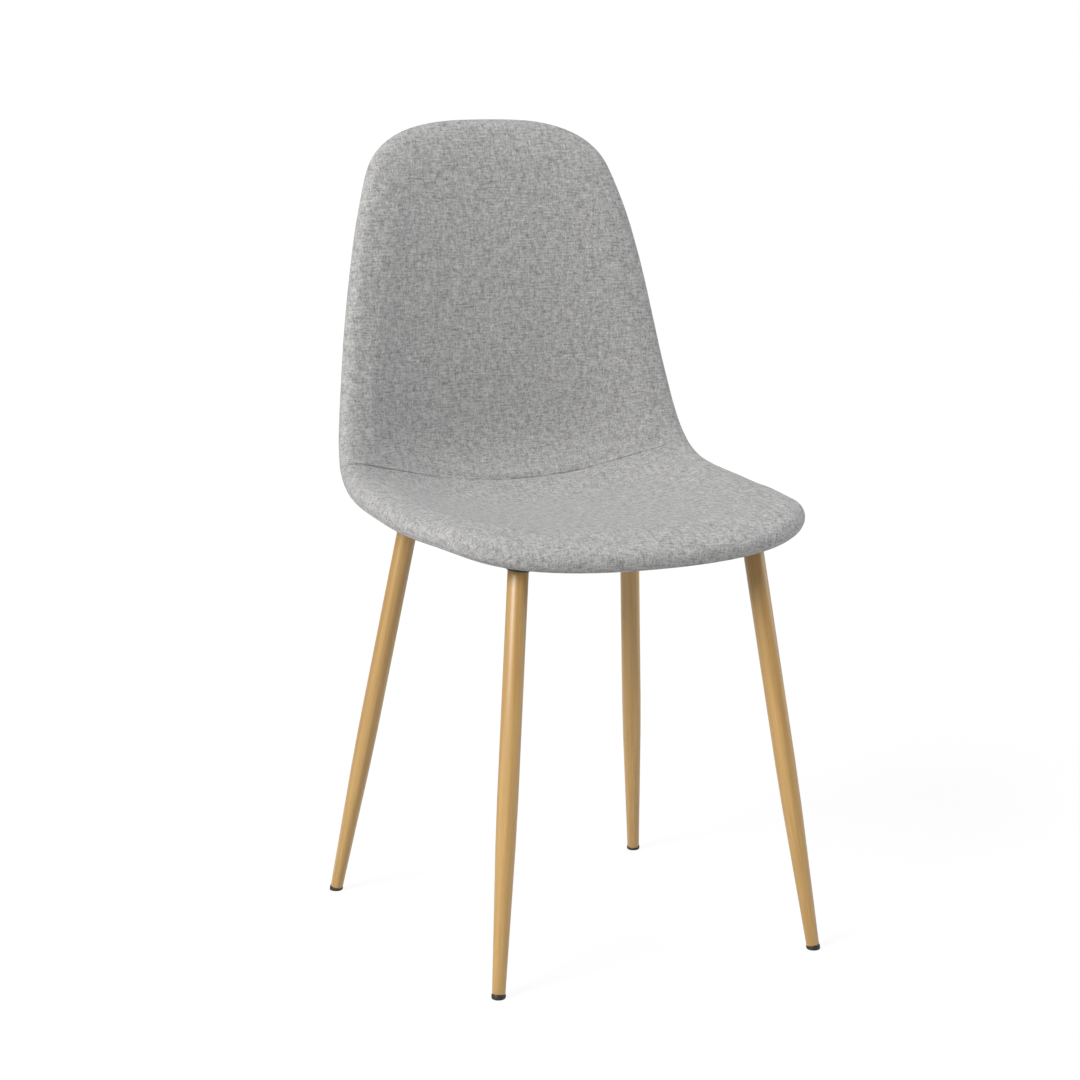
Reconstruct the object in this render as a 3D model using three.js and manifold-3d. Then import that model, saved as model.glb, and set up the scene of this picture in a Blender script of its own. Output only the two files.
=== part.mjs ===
// Upholstered dining chair: a padded plywood shell on four splayed, tapered steel legs
// Lengths are in millimetres and angles in degrees. X runs to the right, Y to the back, Z up.
// The chair is symmetric about X = 0, and stands on Z = 0.

import * as THREE from 'three';
import { mergeVertices } from 'three/addons/utils/BufferGeometryUtils.js';
import Module from 'manifold-3d';

const wasm = await Module();
wasm.setup();

// Side profile: the middle surface of the shell, followed from the front lip to the top of the back
const lipFront = -202.5;
const lipHeight = 443.5;
const lipLength = 78;
const lipRise = 9;
const seatSlope = -2;
const seatLength = 259;
const bendRadius = 130;
const bendEaseShare = 0.6;
const backRecline = 5.75;
const backLength = 312.5;
const backBow = 2;
const topCurl = 9;
const topCurlPower = 1.5;

// Half widths of the middle surface, to the centre of the edge roll, from the front to the top
const frontHalfWidth = 198.5;
const seatHalfWidth = 209.5;
const creaseHalfWidth = 203.5;
const lowerBackHalfWidth = 182.5;
const upperBackHalfWidth = 159.5;
const topHalfWidth = 120;
const frontCornerLength = 77.5;
const frontCornerPower = 2.28;
const topCornerLength = 58.5;
const topCornerPower = 2.76;

// How far the sides stand up out of the middle surface, as far out as the reference width
const dishWidth = 220;
const dishPower = 2.3;
const frontDish = 11.5;
const foreSeatDish = 22.5;
const seatDish = 27.5;
const creaseDish = 50.5;
const backDish = 33.5;

// Where the knots of the width and dish curves lie, as shares of the seat's and the back's length
const foreWidthShare = 0.22;
const seatWidthShare = 0.6;
const lowerBackShare = 0.2;
const upperBackShare = 0.6;
const foreDishShare = 0.25;
const seatDishShare = 0.6;
const backDishShare = 0.35;

// Layers of the shell, from the rear to the front, with the same clearance between each two
const clearance = 0.3;
const fabricThickness = 1.2;
const waddingThickness = 3;
const boardThickness = 8;
const foamThickness = 12.2;
const boardEdgeInset = 2;
const linerThickness = 0.5;

// Crease between seat and back, and the listing strip that holds it down
const creasePastSeat = 96;
const creaseRimLead = 15;
const creaseReach = 14;
const creaseDepth = 4;
const listingThickness = 1;

// Seam between the front covers and the rear cover, as an angle round the edge roll
const seamAngle = -48;
const waddingAngle = -58;

// Medial line: where the fans of the front and the top end
const frontFanLength = 115;
const topFanLength = 120;

// Legs: where their axes meet the floor and where they meet the seat
const frontFootAcross = 187.5;
const frontFootForward = 214;
const rearFootAcross = 193;
const rearFootBack = 214.5;
const frontTopAcross = 138;
const frontTopForward = 158.5;
const rearTopAcross = 136.5;
const rearTopBack = 122.5;
const legRadius = 11;
const legFootRadius = 6.9;
const legWall = 1.2;
const legTaperLength = 180;

// Foot glides
const glideHeight = 4.5;
const glideFlangeRadius = 7.5;
const glidePlugLength = 14;
const glideChamfer = 0.8;

// Leg plates, and the pads between them and the seat
const plateThickness = 2.5;
const plateReach = 32;
const plateTouchShare = 0.55;
const plateAcrossShare = 0.5;
const plateLegMargin = 1.5;
const plateBoltMargin = 8;
const boltSpacing = 22;
const padThickness = 1;
const padBlockHeight = 15;

// Bolts, washers and T-nuts, size M6
const boltRadius = 3;
const boltLength = 18;
const boltHoleRadius = 3.5;
const boltHeadRadius = 5.25;
const boltHeadHeight = 3.3;
const boltSocketRadius = 2;
const boltSocketDepth = 2;
const washerRadius = 8;
const washerThickness = 1.6;
const nutFlangeRadius = 9;
const nutFlangeThickness = 1.3;
const nutBarrelRadius = 4.2;
const nutBarrelLength = 5.6;
const nutSink = 0.9;
const coverHoleRadius = 4.5;

// Counts
const profileSteps = 600;
const legSides = 20;
const roundSides = 10;
const arcSteps = 4;
const sagSteps = 8;
const bisections = 40;
const corrections = 20;

// Shares of the way from the middle of the shell to its edge roll, where the facets meet
const spanShares = [0, 0.36, 0.66, 0.88];
const seatRowShares = [0, 0.27, 0.53, 0.78];
const backRowShares = [0.1, 0.22, 0.4, 0.6, 0.8, 1];
const cornerSteps = 5;

// Angles round the edge roll where the facets meet, from the face to the seam
const frontRollShares = [0, 0.2, 0.42, 0.64, 0.82, 1];
const rearRollShares = [0, 0.5, 1];

// How far a cutting block runs past what it cuts, and the step for measuring a slope
const overrun = 12;
const probe = 1;

// Corners closer than this share of the clearance are one corner
const mergeShare = 0.001;

const radians = THREE.MathUtils.degToRad;
const lerp = THREE.MathUtils.lerp;
const clampShare = (value) => Math.min(Math.max(value, 0), 1);
const easeShare = (share) => share * share * (3 - 2 * share);

// Side profile

const bendAngle = 90 - backRecline - seatSlope;
const bendLength = bendRadius * radians(bendAngle);
const bendEnd = seatLength + bendLength;
const shellLength = bendEnd + backLength;

function headingAt(station) {
  const lip = lipRise * (1 - easeShare(clampShare(station / lipLength)));
  const bend = clampShare((station - seatLength) / bendLength);
  const eased = bend - bendEaseShare * Math.sin(2 * Math.PI * bend) / (2 * Math.PI);
  const back = clampShare((station - bendEnd) / backLength);
  const bow = backBow * Math.sin(Math.PI * back);
  return radians(seatSlope + lip + bendAngle * eased + bow - topCurl * back ** topCurlPower);
}

const profile = [{ y: lipFront, z: lipHeight }];
const profileStep = shellLength / profileSteps;
for (let i = 0; i < profileSteps; i++) {
  const heading = headingAt((i + 0.5) * profileStep);
  const last = profile[i];
  profile.push({
    y: last.y + Math.cos(heading) * profileStep,
    z: last.z + Math.sin(heading) * profileStep,
  });
}

function profileAt(station) {
  const place = clampShare(station / shellLength) * profileSteps;
  const i = Math.min(Math.floor(place), profileSteps - 1);
  const share = place - i;
  const y = lerp(profile[i].y, profile[i + 1].y, share);
  const z = lerp(profile[i].z, profile[i + 1].z, share);
  return { y, z, heading: headingAt(station) };
}

// A smooth curve through the given values that never swings past them
function smoothCurve(places, values) {
  const count = places.length;
  const gaps = [];
  const rises = [];
  for (let i = 0; i < count - 1; i++) {
    gaps.push(places[i + 1] - places[i]);
    rises.push((values[i + 1] - values[i]) / gaps[i]);
  }
  const slopes = values.map((value, i) => {
    if (i === 0 || i === count - 1) return 0;
    if (rises[i - 1] * rises[i] <= 0) return 0;
    const before = 2 * gaps[i] + gaps[i - 1];
    const after = gaps[i] + 2 * gaps[i - 1];
    return (before + after) / (before / rises[i - 1] + after / rises[i]);
  });
  slopes[count - 1] = rises[count - 2];
  return (place) => {
    let i = 0;
    while (i < count - 2 && place > places[i + 1]) i++;
    const u = clampShare((place - places[i]) / gaps[i]);
    const ease = easeShare(u);
    const bulge = gaps[i] * u * (1 - u) * (slopes[i] * (1 - u) - slopes[i + 1] * u);
    return values[i] * (1 - ease) + values[i + 1] * ease + bulge;
  };
}

const bendMiddle = seatLength + bendLength / 2;
const bodyHalfWidth = smoothCurve(
  [
    0,
    seatLength * foreWidthShare,
    seatLength * seatWidthShare,
    bendMiddle,
    bendEnd + backLength * lowerBackShare,
    bendEnd + backLength * upperBackShare,
    shellLength,
  ],
  [
    frontHalfWidth,
    frontHalfWidth,
    seatHalfWidth,
    creaseHalfWidth,
    lowerBackHalfWidth,
    upperBackHalfWidth,
    topHalfWidth,
  ],
);
const dishAt = smoothCurve(
  [
    0,
    seatLength * foreDishShare,
    seatLength * seatDishShare,
    bendMiddle,
    bendEnd + backLength * backDishShare,
    shellLength,
  ],
  [frontDish, foreSeatDish, seatDish, creaseDish, backDish, backDish],
);

// Rounded corner: 0 at the very end, 1 from the corner's length on
function cornerShare(distance, length, power) {
  return (1 - (1 - clampShare(distance / length)) ** power) ** (1 / power);
}

function halfWidthAt(station) {
  const front = cornerShare(station, frontCornerLength, frontCornerPower);
  const top = cornerShare(shellLength - station, topCornerLength, topCornerPower);
  return bodyHalfWidth(station) * front * top;
}

// A point of the middle surface, at a station of the profile and a distance across
function middlePoint(station, across) {
  const { y, z, heading } = profileAt(station);
  const lift = dishAt(station) * Math.abs(across / dishWidth) ** dishPower;
  return new THREE.Vector3(across, y - Math.sin(heading) * lift, z + Math.cos(heading) * lift);
}

// The direction that points out of the front of the shell
function frontNormal(station, across) {
  const before = Math.max(station - probe, 0);
  const after = Math.min(station + probe, shellLength);
  const along = middlePoint(after, across).sub(middlePoint(before, across));
  const sideways = middlePoint(station, across + probe).sub(middlePoint(station, across - probe));
  return sideways.cross(along).normalize();
}

function shellPoint(station, across, height) {
  return middlePoint(station, across).addScaledVector(frontNormal(station, across), height);
}

// Rows of the shell, each running across it from one edge to the other.
// A row is told by its station at the edge, its station in the middle and its half width.

const creaseStation = seatLength + creasePastSeat;
const creaseRim = creaseStation + creaseRimLead;
const topFanStart = shellLength - topFanLength;

function middleStation(rim) {
  if (rim < creaseRim) {
    const share = clampShare((rim - frontFanLength) / (creaseRim - frontFanLength));
    return lerp(frontFanLength, creaseStation, share);
  }
  const share = clampShare((rim - creaseRim) / (topFanStart - creaseRim));
  return lerp(creaseStation, topFanStart, share);
}

function makeRow(rim, halfWidth, groove) {
  const fanned = rim < frontFanLength || rim > topFanStart;
  return { rim, middle: middleStation(rim), halfWidth, groove, curve: fanned ? 1 : 2 };
}

// One round corner's rows, at even angles of its curve
function cornerRows(length, power, stationOf) {
  const rows = [];
  for (let i = 0; i <= cornerSteps; i++) {
    const angle = i / cornerSteps * Math.PI / 2;
    const station = stationOf(length * (1 - Math.cos(angle) ** (2 / power)));
    const width = bodyHalfWidth(station) * Math.sin(angle) ** (2 / power);
    rows.push(makeRow(station, width, 0));
  }
  return rows;
}

const plainRow = (rim) => makeRow(rim, halfWidthAt(rim), 0);
const creaseRow = (offset) => makeRow(creaseRim + offset, halfWidthAt(creaseRim), creaseDepth);
const seatRowsEnd = creaseRim - creaseReach;
const backRowsStart = creaseRim + creaseReach;
const frontRows = [
  ...cornerRows(frontCornerLength, frontCornerPower, (distance) => distance),
  ...seatRowShares.map((share) => plainRow(lerp(frontFanLength, seatRowsEnd, share))),
  plainRow(seatRowsEnd),
];
const backRows = [
  plainRow(backRowsStart),
  ...backRowShares.map((share) => plainRow(lerp(backRowsStart, topFanStart, share))),
  ...cornerRows(topCornerLength, topCornerPower, (distance) => shellLength - distance).reverse(),
];
const allRows = [...frontRows, creaseRow(0), ...backRows];

// A point of a row: a share of the way from the middle to the edge roll's centre, and a height
function spanPoint(row, share, height) {
  const station = row.middle + (row.rim - row.middle) * share ** row.curve;
  return shellPoint(station, row.halfWidth * share, height);
}

// The outline of the edge roll's centre, on the right side, and its frame of directions
const outline = allRows.map((row) => middlePoint(row.rim, row.halfWidth));

function rollFrame(row) {
  const far = allRows.map((other) => Math.abs(other.rim - row.rim));
  const i = far.indexOf(Math.min(...far));
  const centre = middlePoint(row.rim, row.halfWidth);
  const mirrored = (point) => new THREE.Vector3(-point.x, point.y, point.z);
  const before = i > 0 ? outline[i - 1] : mirrored(outline[1]);
  const after = i < outline.length - 1 ? outline[i + 1] : mirrored(outline[outline.length - 2]);
  const back = outline[i].clone().sub(before);
  const on = after.clone().sub(outline[i]);
  const tangent = back.clone().multiplyScalar(on.length() / back.length());
  tangent.addScaledVector(on, back.length() / on.length());
  const normal = frontNormal(row.rim, row.halfWidth);
  const outward = tangent.cross(normal).normalize();
  return { centre, normal, outward };
}

// A point near the edge roll: a distance outwards from its centre, and a height
function rollPoint(row, outwards, height) {
  const { centre, normal, outward } = rollFrame(row);
  return centre.addScaledVector(outward, outwards).addScaledVector(normal, height);
}

function arcPoint(row, radius, angle) {
  const grooved = radius - row.groove * Math.max(Math.sin(radians(angle)), 0);
  return rollPoint(row, grooved * Math.cos(radians(angle)), grooved * Math.sin(radians(angle)));
}

// Sections of the layers: half a row, from the middle to the edge

const stackThickness = 2 * fabricThickness + waddingThickness + boardThickness + foamThickness
  + 4 * clearance;
const rollRadius = stackThickness / 2;
const paddingRadius = rollRadius - fabricThickness - clearance;
const boardBottom = -paddingRadius + waddingThickness + clearance;
const boardTop = boardBottom + boardThickness;
const seamGap = THREE.MathUtils.radToDeg(clearance / rollRadius);

const acrossFace = (height, grooved) => (row) => spanShares.map(
  (share) => spanPoint(row, share, height - (grooved ? row.groove : 0)),
);
const roundRoll = (radius, from, to, shares) => (row) => shares.map(
  (share) => arcPoint(row, radius, lerp(from, to, share)),
);
const boardEdge = (inset, from, to, shares) => (row) => shares.map(
  (share) => rollPoint(row, -inset, lerp(from, to, share)),
);
const both = (first, second) => (row) => [...first(row), ...second(row)];

const frontFace = (radius) => both(
  acrossFace(radius, true),
  roundRoll(radius, 90, seamAngle, frontRollShares),
);
const rearFace = (radius, angle) => both(
  acrossFace(-radius, false),
  roundRoll(radius, -90, angle, rearRollShares),
);

// Closes a mesh: merges its corners and drops the triangles that have no area
function closed(geometry) {
  geometry.deleteAttribute('normal');
  geometry.deleteAttribute('uv');
  const merged = mergeVertices(geometry, clearance * mergeShare);
  const kept = [];
  for (let i = 0; i < merged.index.count; i += 3) {
    const corners = [0, 1, 2].map((k) => merged.index.getX(i + k));
    if (new Set(corners).size === 3) kept.push(...corners);
  }
  merged.setIndex(kept);
  return merged;
}

// A layer of the shell: a sheet between an outer and an inner section, along some of the rows.
// Each facet's diagonal runs outwards as it runs up the rows, so neighbouring layers nest.
function layer(rows, outer, inner) {
  const loops = rows.map((row) => {
    const mirrored = (points) => points.map((p) => new THREE.Vector3(-p.x, p.y, p.z)).reverse();
    const outerHalf = outer(row);
    const innerHalf = inner(row);
    return [
      ...mirrored(outerHalf), ...outerHalf,
      ...innerHalf.slice().reverse(), ...mirrored(innerHalf).reverse(),
    ];
  });
  const size = loops[0].length;
  const positions = loops.flat().flatMap((p) => p.toArray());
  const index = [];
  for (let j = 0; j < rows.length - 1; j++) {
    for (let k = 0; k < size; k++) {
      const next = (k + 1) % size;
      const [a, b] = [j * size + k, j * size + next];
      const outwards = Math.floor(4 * k / size) % 2 === 1;
      if (outwards) index.push(a, b, b + size, a, b + size, a + size);
      else index.push(a, b, a + size, b, b + size, a + size);
    }
  }
  for (const [row, flip] of [[0, false], [rows.length - 1, true]]) {
    const start = row * size;
    for (let k = 0; rows[row].halfWidth > 0 && k < size / 2 - 1; k++) {
      const [a, b] = [start + k, start + k + 1];
      const [c, d] = [start + size - 1 - k, start + size - 2 - k];
      if (flip) index.push(a, b, c, b, d, c);
      else index.push(a, c, b, b, c, d);
    }
  }
  const geometry = new THREE.BufferGeometry();
  geometry.setAttribute('position', new THREE.Float32BufferAttribute(positions, 3));
  geometry.setIndex(index);
  return closed(geometry);
}

// Solids for cutting

function toSolid(geometry) {
  const mesh = closed(geometry.clone());
  return new wasm.Manifold(new wasm.Mesh({
    numProp: 3,
    vertProperties: new Float32Array(mesh.attributes.position.array),
    triVerts: new Uint32Array(mesh.index.array),
  }));
}

function toGeometry(solid) {
  const mesh = solid.getMesh();
  const geometry = new THREE.BufferGeometry();
  geometry.setAttribute('position', new THREE.BufferAttribute(mesh.vertProperties, 3));
  geometry.setIndex(new THREE.BufferAttribute(mesh.triVerts, 1));
  return geometry;
}

function cut(geometry, tools) {
  const solid = tools.reduce((rest, tool) => rest.subtract(toSolid(tool)), toSolid(geometry));
  return toGeometry(solid);
}

// A turned piece about the Z axis: radii and heights, counter-clockwise in the half plane
function turned(points, sides) {
  const outlinePoints = points.map(([radius, height]) => new THREE.Vector2(radius, height));
  outlinePoints.push(outlinePoints[0].clone());
  const geometry = new THREE.LatheGeometry(outlinePoints, sides);
  return closed(geometry.rotateX(Math.PI / 2));
}

const drill = (radius, bottom, top, sides) => turned(
  [[0, bottom], [radius, bottom], [radius, top], [0, top]],
  sides,
);

// A square block about the Z axis, for cutting
function block(halfWidth, bottom, top) {
  const box = new THREE.BoxGeometry(2 * halfWidth, 2 * halfWidth, top - bottom);
  return box.translate(0, 0, (bottom + top) / 2);
}

// An outline stretched round circles, given counter-clockwise
function roundCircles(circles) {
  const shape = new THREE.Shape();
  const side = (from, to) => {
    const step = to.centre.clone().sub(from.centre);
    return step.angle() - Math.PI / 2 + Math.asin((from.radius - to.radius) / step.length());
  };
  circles.forEach((circle, i) => {
    const before = circles[(i + circles.length - 1) % circles.length];
    const after = circles[(i + 1) % circles.length];
    const { x, y } = circle.centre;
    shape.absarc(x, y, circle.radius, side(before, circle), side(circle, after), false);
  });
  return shape;
}

// Shell

const shell = {
  shell_board: layer(
    allRows,
    both(acrossFace(boardTop, false), boardEdge(boardEdgeInset, boardTop, boardTop, [0])),
    both(acrossFace(boardBottom, false), boardEdge(boardEdgeInset, boardBottom, boardBottom, [0])),
  ),
};

const foamInner = both(
  acrossFace(boardTop + clearance, false),
  boardEdge(boardEdgeInset - clearance, boardTop + clearance, boardBottom, frontRollShares),
);
const listingHalf = listingThickness / 2;
const seatCoverRows = [...frontRows, creaseRow(-clearance / 2)];
const backCoverRows = [creaseRow(clearance / 2), ...backRows];
const seatFoamRows = [...frontRows, creaseRow(-listingHalf - clearance)];
const backFoamRows = [creaseRow(listingHalf + clearance), ...backRows];
const listingRows = [creaseRow(-listingHalf), creaseRow(listingHalf)];
const coverInner = rollRadius - fabricThickness;

shell.seat_foam = layer(seatFoamRows, frontFace(paddingRadius), foamInner);
shell.back_foam = layer(backFoamRows, frontFace(paddingRadius), foamInner);
shell.crease_listing = layer(
  listingRows,
  acrossFace(paddingRadius, true),
  acrossFace(boardTop + clearance, false),
);
shell.seat_cover = layer(seatCoverRows, frontFace(rollRadius), frontFace(coverInner));
shell.back_cover = layer(backCoverRows, frontFace(rollRadius), frontFace(coverInner));
shell.rear_cover = layer(
  allRows,
  rearFace(coverInner, seamAngle - seamGap),
  rearFace(rollRadius, seamAngle - seamGap),
);
shell.rear_wadding = layer(
  allRows,
  both(
    acrossFace(-paddingRadius + waddingThickness, false),
    boardEdge(boardEdgeInset, boardBottom - clearance, boardBottom - clearance, rearRollShares),
  ),
  rearFace(paddingRadius, waddingAngle),
);
const linerTop = rollRadius + clearance;
const linerBottom = linerTop + linerThickness;
shell.underside_liner = layer(
  frontRows,
  acrossFace(-linerTop, false),
  acrossFace(-linerBottom, false),
);

// Everything above the liner, with clearance, for shaping what lies under it
const aboveUnderside = layer(
  allRows,
  both(acrossFace(rollRadius, false), boardEdge(0, rollRadius, 0, rearRollShares)),
  rearFace(linerBottom + clearance, seamAngle),
);

// Depths below the middle surface at a leg plate's centre

const padTop = linerBottom + clearance;
const padBottom = padTop + padThickness;
const plateTop = padBottom + clearance;
const plateBottom = plateTop + plateThickness;
const washerTop = plateBottom + clearance;
const washerBottom = washerTop + washerThickness;
const headTop = washerBottom + clearance;
const nutTop = nutSink - boardTop;

// The station of the shell's underside that lies over a place in plan
function stationUnder(across, back) {
  let [low, high] = [0, bendEnd];
  for (let i = 0; i < bisections; i++) {
    const station = (low + high) / 2;
    if (shellPoint(station, across, -padTop).y < back) low = station;
    else high = station;
  }
  return low;
}

// The leg corners: names, the side, and where the leg's axis meets the floor and the seat
const corners = [];
for (const [side, word] of [[-1, 'left'], [1, 'right']]) {
  corners.push({
    name: `front_${word}`,
    foot: new THREE.Vector3(side * frontFootAcross, -frontFootForward, 0),
    top: new THREE.Vector2(side * frontTopAcross, -frontTopForward),
    inward: new THREE.Vector2(-side * plateAcrossShare, 1).normalize(),
  });
  corners.push({
    name: `rear_${word}`,
    foot: new THREE.Vector3(side * rearFootAcross, rearFootBack, 0),
    top: new THREE.Vector2(side * rearTopAcross, rearTopBack),
    inward: new THREE.Vector2(-side * plateAcrossShare, -1).normalize(),
  });
}

// A frame where the plate lies along the seat: Z out of the front of the shell, X towards the
// seat's middle. The leg stands at one end of the plate and its two bolts at the other.
for (const corner of corners) {
  const plan = corner.top.clone().addScaledVector(corner.inward, plateReach * plateTouchShare);
  corner.station = stationUnder(plan.x, plan.y);
  corner.origin = shellPoint(corner.station, plan.x, 0);
  corner.up = frontNormal(corner.station, plan.x);
  const ahead = new THREE.Vector3(corner.inward.x, corner.inward.y, 0);
  corner.ahead = ahead.addScaledVector(corner.up, -ahead.dot(corner.up)).normalize();
  corner.aside = corner.up.clone().cross(corner.ahead);
  corner.frame = new THREE.Matrix4().makeBasis(corner.ahead, corner.aside, corner.up);
  corner.frame.setPosition(corner.origin);
  const boltLine = plateReach * (1 - plateTouchShare);
  corner.bolts = [-1, 1].map((side) => new THREE.Vector2(boltLine, side * boltSpacing / 2));
}

// How far the middle surface lies above a place of a corner's frame
function liftOver(corner, place) {
  const target = new THREE.Vector3(place.x, place.y, 0).applyMatrix4(corner.frame);
  let [station, across] = [corner.station, corner.origin.x];
  let lift = 0;
  for (let i = 0; i < corrections; i++) {
    const point = middlePoint(station, across);
    lift = point.clone().sub(target).dot(corner.up);
    const miss = target.clone().addScaledVector(corner.up, lift).sub(point);
    const heading = headingAt(station);
    across += miss.x;
    station += miss.y * Math.cos(heading) + miss.z * Math.sin(heading);
  }
  return lift;
}

// The plate hangs lower where the shell sags below its touching place, so nothing is pinched
function sagOver(corner) {
  const legGuess = new THREE.Vector2(-plateReach * plateTouchShare, 0);
  let sag = 0;
  for (const place of [legGuess, ...corner.bolts]) {
    for (let i = 0; i < sagSteps; i++) {
      const angle = i / sagSteps * 2 * Math.PI;
      const rim = new THREE.Vector2(Math.cos(angle), Math.sin(angle)).multiplyScalar(legRadius);
      sag = Math.max(sag, -liftOver(corner, rim.add(place)));
    }
  }
  return sag;
}

for (const corner of corners) {
  const hung = corner.origin.clone().addScaledVector(corner.up, -sagOver(corner));
  corner.hung = corner.frame.clone().setPosition(hung);

  const plateCentre = hung.clone().addScaledVector(corner.up, -plateBottom);
  const seatPoint = new THREE.Vector3(corner.top.x, corner.top.y, 0);
  const drop = plateCentre.clone().sub(seatPoint).dot(corner.up) / corner.up.z;
  corner.legTop = seatPoint.setZ(drop);
  const offset = corner.legTop.clone().sub(plateCentre);
  corner.legPlace = new THREE.Vector2(offset.dot(corner.ahead), offset.dot(corner.aside));
  corner.axis = corner.legTop.clone().sub(corner.foot);
  corner.turn = new THREE.Quaternion().setFromUnitVectors(
    new THREE.Vector3(0, 0, 1),
    corner.axis.clone().normalize(),
  );
}

// A geometry made about the Z axis, put at a place of a frame
function placed(geometry, frame, place, height = 0) {
  return geometry.translate(place.x, place.y, height).applyMatrix4(frame);
}

const materials = {
  board: { color: 0xc9a878, roughness: 0.7, metalness: 0 },
  foam: { color: 0xe6dfc8, roughness: 0.95, metalness: 0 },
  wadding: { color: 0xe8e8e4, roughness: 0.95, metalness: 0 },
  fabric: { color: 0xa3a3a1, roughness: 0.92, metalness: 0 },
  listing: { color: 0xd8d4c8, roughness: 0.9, metalness: 0 },
  liner: { color: 0x1c1c1d, roughness: 0.95, metalness: 0 },
  wood_grain: { color: 0xc49d66, roughness: 0.5, metalness: 0 },
  plastic: { color: 0x2b2521, roughness: 0.55, metalness: 0 },
  steel: { color: 0x23242a, roughness: 0.45, metalness: 0.6 },
  zinc: { color: 0xb5b8bb, roughness: 0.35, metalness: 1 },
};

const chair = new THREE.Group();

function addPiece(name, geometry, finish) {
  const mesh = new THREE.Mesh(geometry, new THREE.MeshStandardMaterial(materials[finish]));
  mesh.name = name;
  chair.add(mesh);
}

// Legs, glides, plates and pads

function plateOutline(corner, holeRadius) {
  const shape = roundCircles([
    { centre: corner.legPlace, radius: legRadius + plateLegMargin },
    { centre: corner.bolts[0], radius: plateBoltMargin },
    { centre: corner.bolts[1], radius: plateBoltMargin },
  ]);
  for (const bolt of corner.bolts) {
    const hole = new THREE.Path();
    hole.absarc(bolt.x, bolt.y, holeRadius, 0, 2 * Math.PI, true);
    shape.holes.push(hole);
  }
  return shape;
}

function addLeg(corner) {
  const bore = legRadius - legWall;
  const footBore = legFootRadius - legWall;
  const length = corner.axis.length();
  const bottom = glideHeight + clearance;
  const top = length + overrun;
  const tube = turned(
    [
      [legFootRadius, bottom], [legRadius, legTaperLength], [legRadius, top],
      [bore, top], [bore, legTaperLength], [footBore, bottom],
    ],
    legSides,
  );
  tube.applyQuaternion(corner.turn).translate(...corner.foot.toArray());
  const underPlate = -plateBottom - clearance;
  const spare = block(legRadius + overrun, underPlate, underPlate + 2 * overrun);
  const leg = cut(tube, [placed(spare, corner.hung, corner.legPlace)]);
  addPiece(`leg_${corner.name}`, leg, 'wood_grain');

  const plug = footBore - clearance;
  const reach = glideFlangeRadius;
  const glide = turned(
    [
      [0, -reach], [reach, -reach], [reach, glideHeight - glideChamfer],
      [reach - glideChamfer, glideHeight], [plug, glideHeight],
      [plug, glideHeight + glidePlugLength], [0, glideHeight + glidePlugLength],
    ],
    legSides,
  );
  glide.applyQuaternion(corner.turn).translate(...corner.foot.toArray());
  const floor = block(reach + overrun, -2 * reach, 0);
  floor.translate(corner.foot.x, corner.foot.y, 0);
  addPiece(`foot_glide_${corner.name}`, cut(glide, [floor]), 'plastic');
}

function addPlate(corner) {
  const plate = new THREE.ExtrudeGeometry(plateOutline(corner, boltHoleRadius), {
    depth: plateThickness,
    bevelEnabled: false,
    curveSegments: arcSteps,
  });
  plate.translate(0, 0, -plateBottom);
  addPiece(`leg_plate_${corner.name}`, closed(plate.applyMatrix4(corner.hung)), 'steel');

  const pad = new THREE.ExtrudeGeometry(plateOutline(corner, boltHoleRadius + clearance), {
    depth: padBlockHeight,
    bevelEnabled: false,
    curveSegments: arcSteps,
  });
  pad.translate(0, 0, -padBottom);
  const wedge = cut(pad.applyMatrix4(corner.hung), [aboveUnderside]);
  addPiece(`leg_pad_${corner.name}`, wedge, 'plastic');
}

// Bolts, washers and T-nuts

function addFastener(corner, place, number) {
  const tip = headTop - boltLength;
  const headBottom = headTop + boltHeadHeight;
  const bolt = turned(
    [
      [0, -headBottom + boltSocketDepth], [boltSocketRadius, -headBottom + boltSocketDepth],
      [boltSocketRadius, -headBottom], [boltHeadRadius - boltSocketDepth, -headBottom],
      [boltHeadRadius, -headTop], [boltRadius, -headTop], [boltRadius, -tip], [0, -tip],
    ],
    roundSides,
  );
  addPiece(`seat_bolt_${corner.name}_${number}`, placed(bolt, corner.hung, place), 'zinc');

  const hole = boltRadius + clearance;
  const washer = turned(
    [
      [hole, -washerBottom], [washerRadius, -washerBottom],
      [washerRadius, -washerTop], [hole, -washerTop],
    ],
    roundSides,
  );
  addPiece(`washer_${corner.name}_${number}`, placed(washer, corner.hung, place), 'zinc');

  const nut = turned(
    [
      [hole, -nutTop - nutFlangeThickness - nutBarrelLength],
      [nutBarrelRadius, -nutTop - nutFlangeThickness - nutBarrelLength],
      [nutBarrelRadius, -nutTop - nutFlangeThickness],
      [nutFlangeRadius, -nutTop - nutFlangeThickness],
      [nutFlangeRadius, -nutTop], [hole, -nutTop],
    ],
    roundSides,
  );
  const seated = placed(nut, corner.frame, place, liftOver(corner, place));
  addPiece(`tee_nut_${corner.name}_${number}`, seated, 'zinc');
}

const boardDrills = [];
const coverDrills = [];
for (const corner of corners) {
  for (const place of corner.bolts) {
    const seat = drill(
      nutFlangeRadius + clearance,
      -nutTop - nutFlangeThickness - clearance,
      -boardTop + overrun,
      roundSides,
    );
    const through = drill(nutBarrelRadius + clearance, -linerBottom, 0, roundSides);
    const wide = drill(coverHoleRadius, -linerBottom - overrun, 0, roundSides);
    const lift = liftOver(corner, place);
    boardDrills.push(placed(seat, corner.frame, place, lift));
    boardDrills.push(placed(through, corner.frame, place, lift));
    coverDrills.push(placed(wide, corner.frame, place, lift));
  }
}
shell.shell_board = cut(shell.shell_board, boardDrills);
for (const name of ['rear_wadding', 'rear_cover', 'underside_liner']) {
  shell[name] = cut(shell[name], coverDrills);
}

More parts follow.
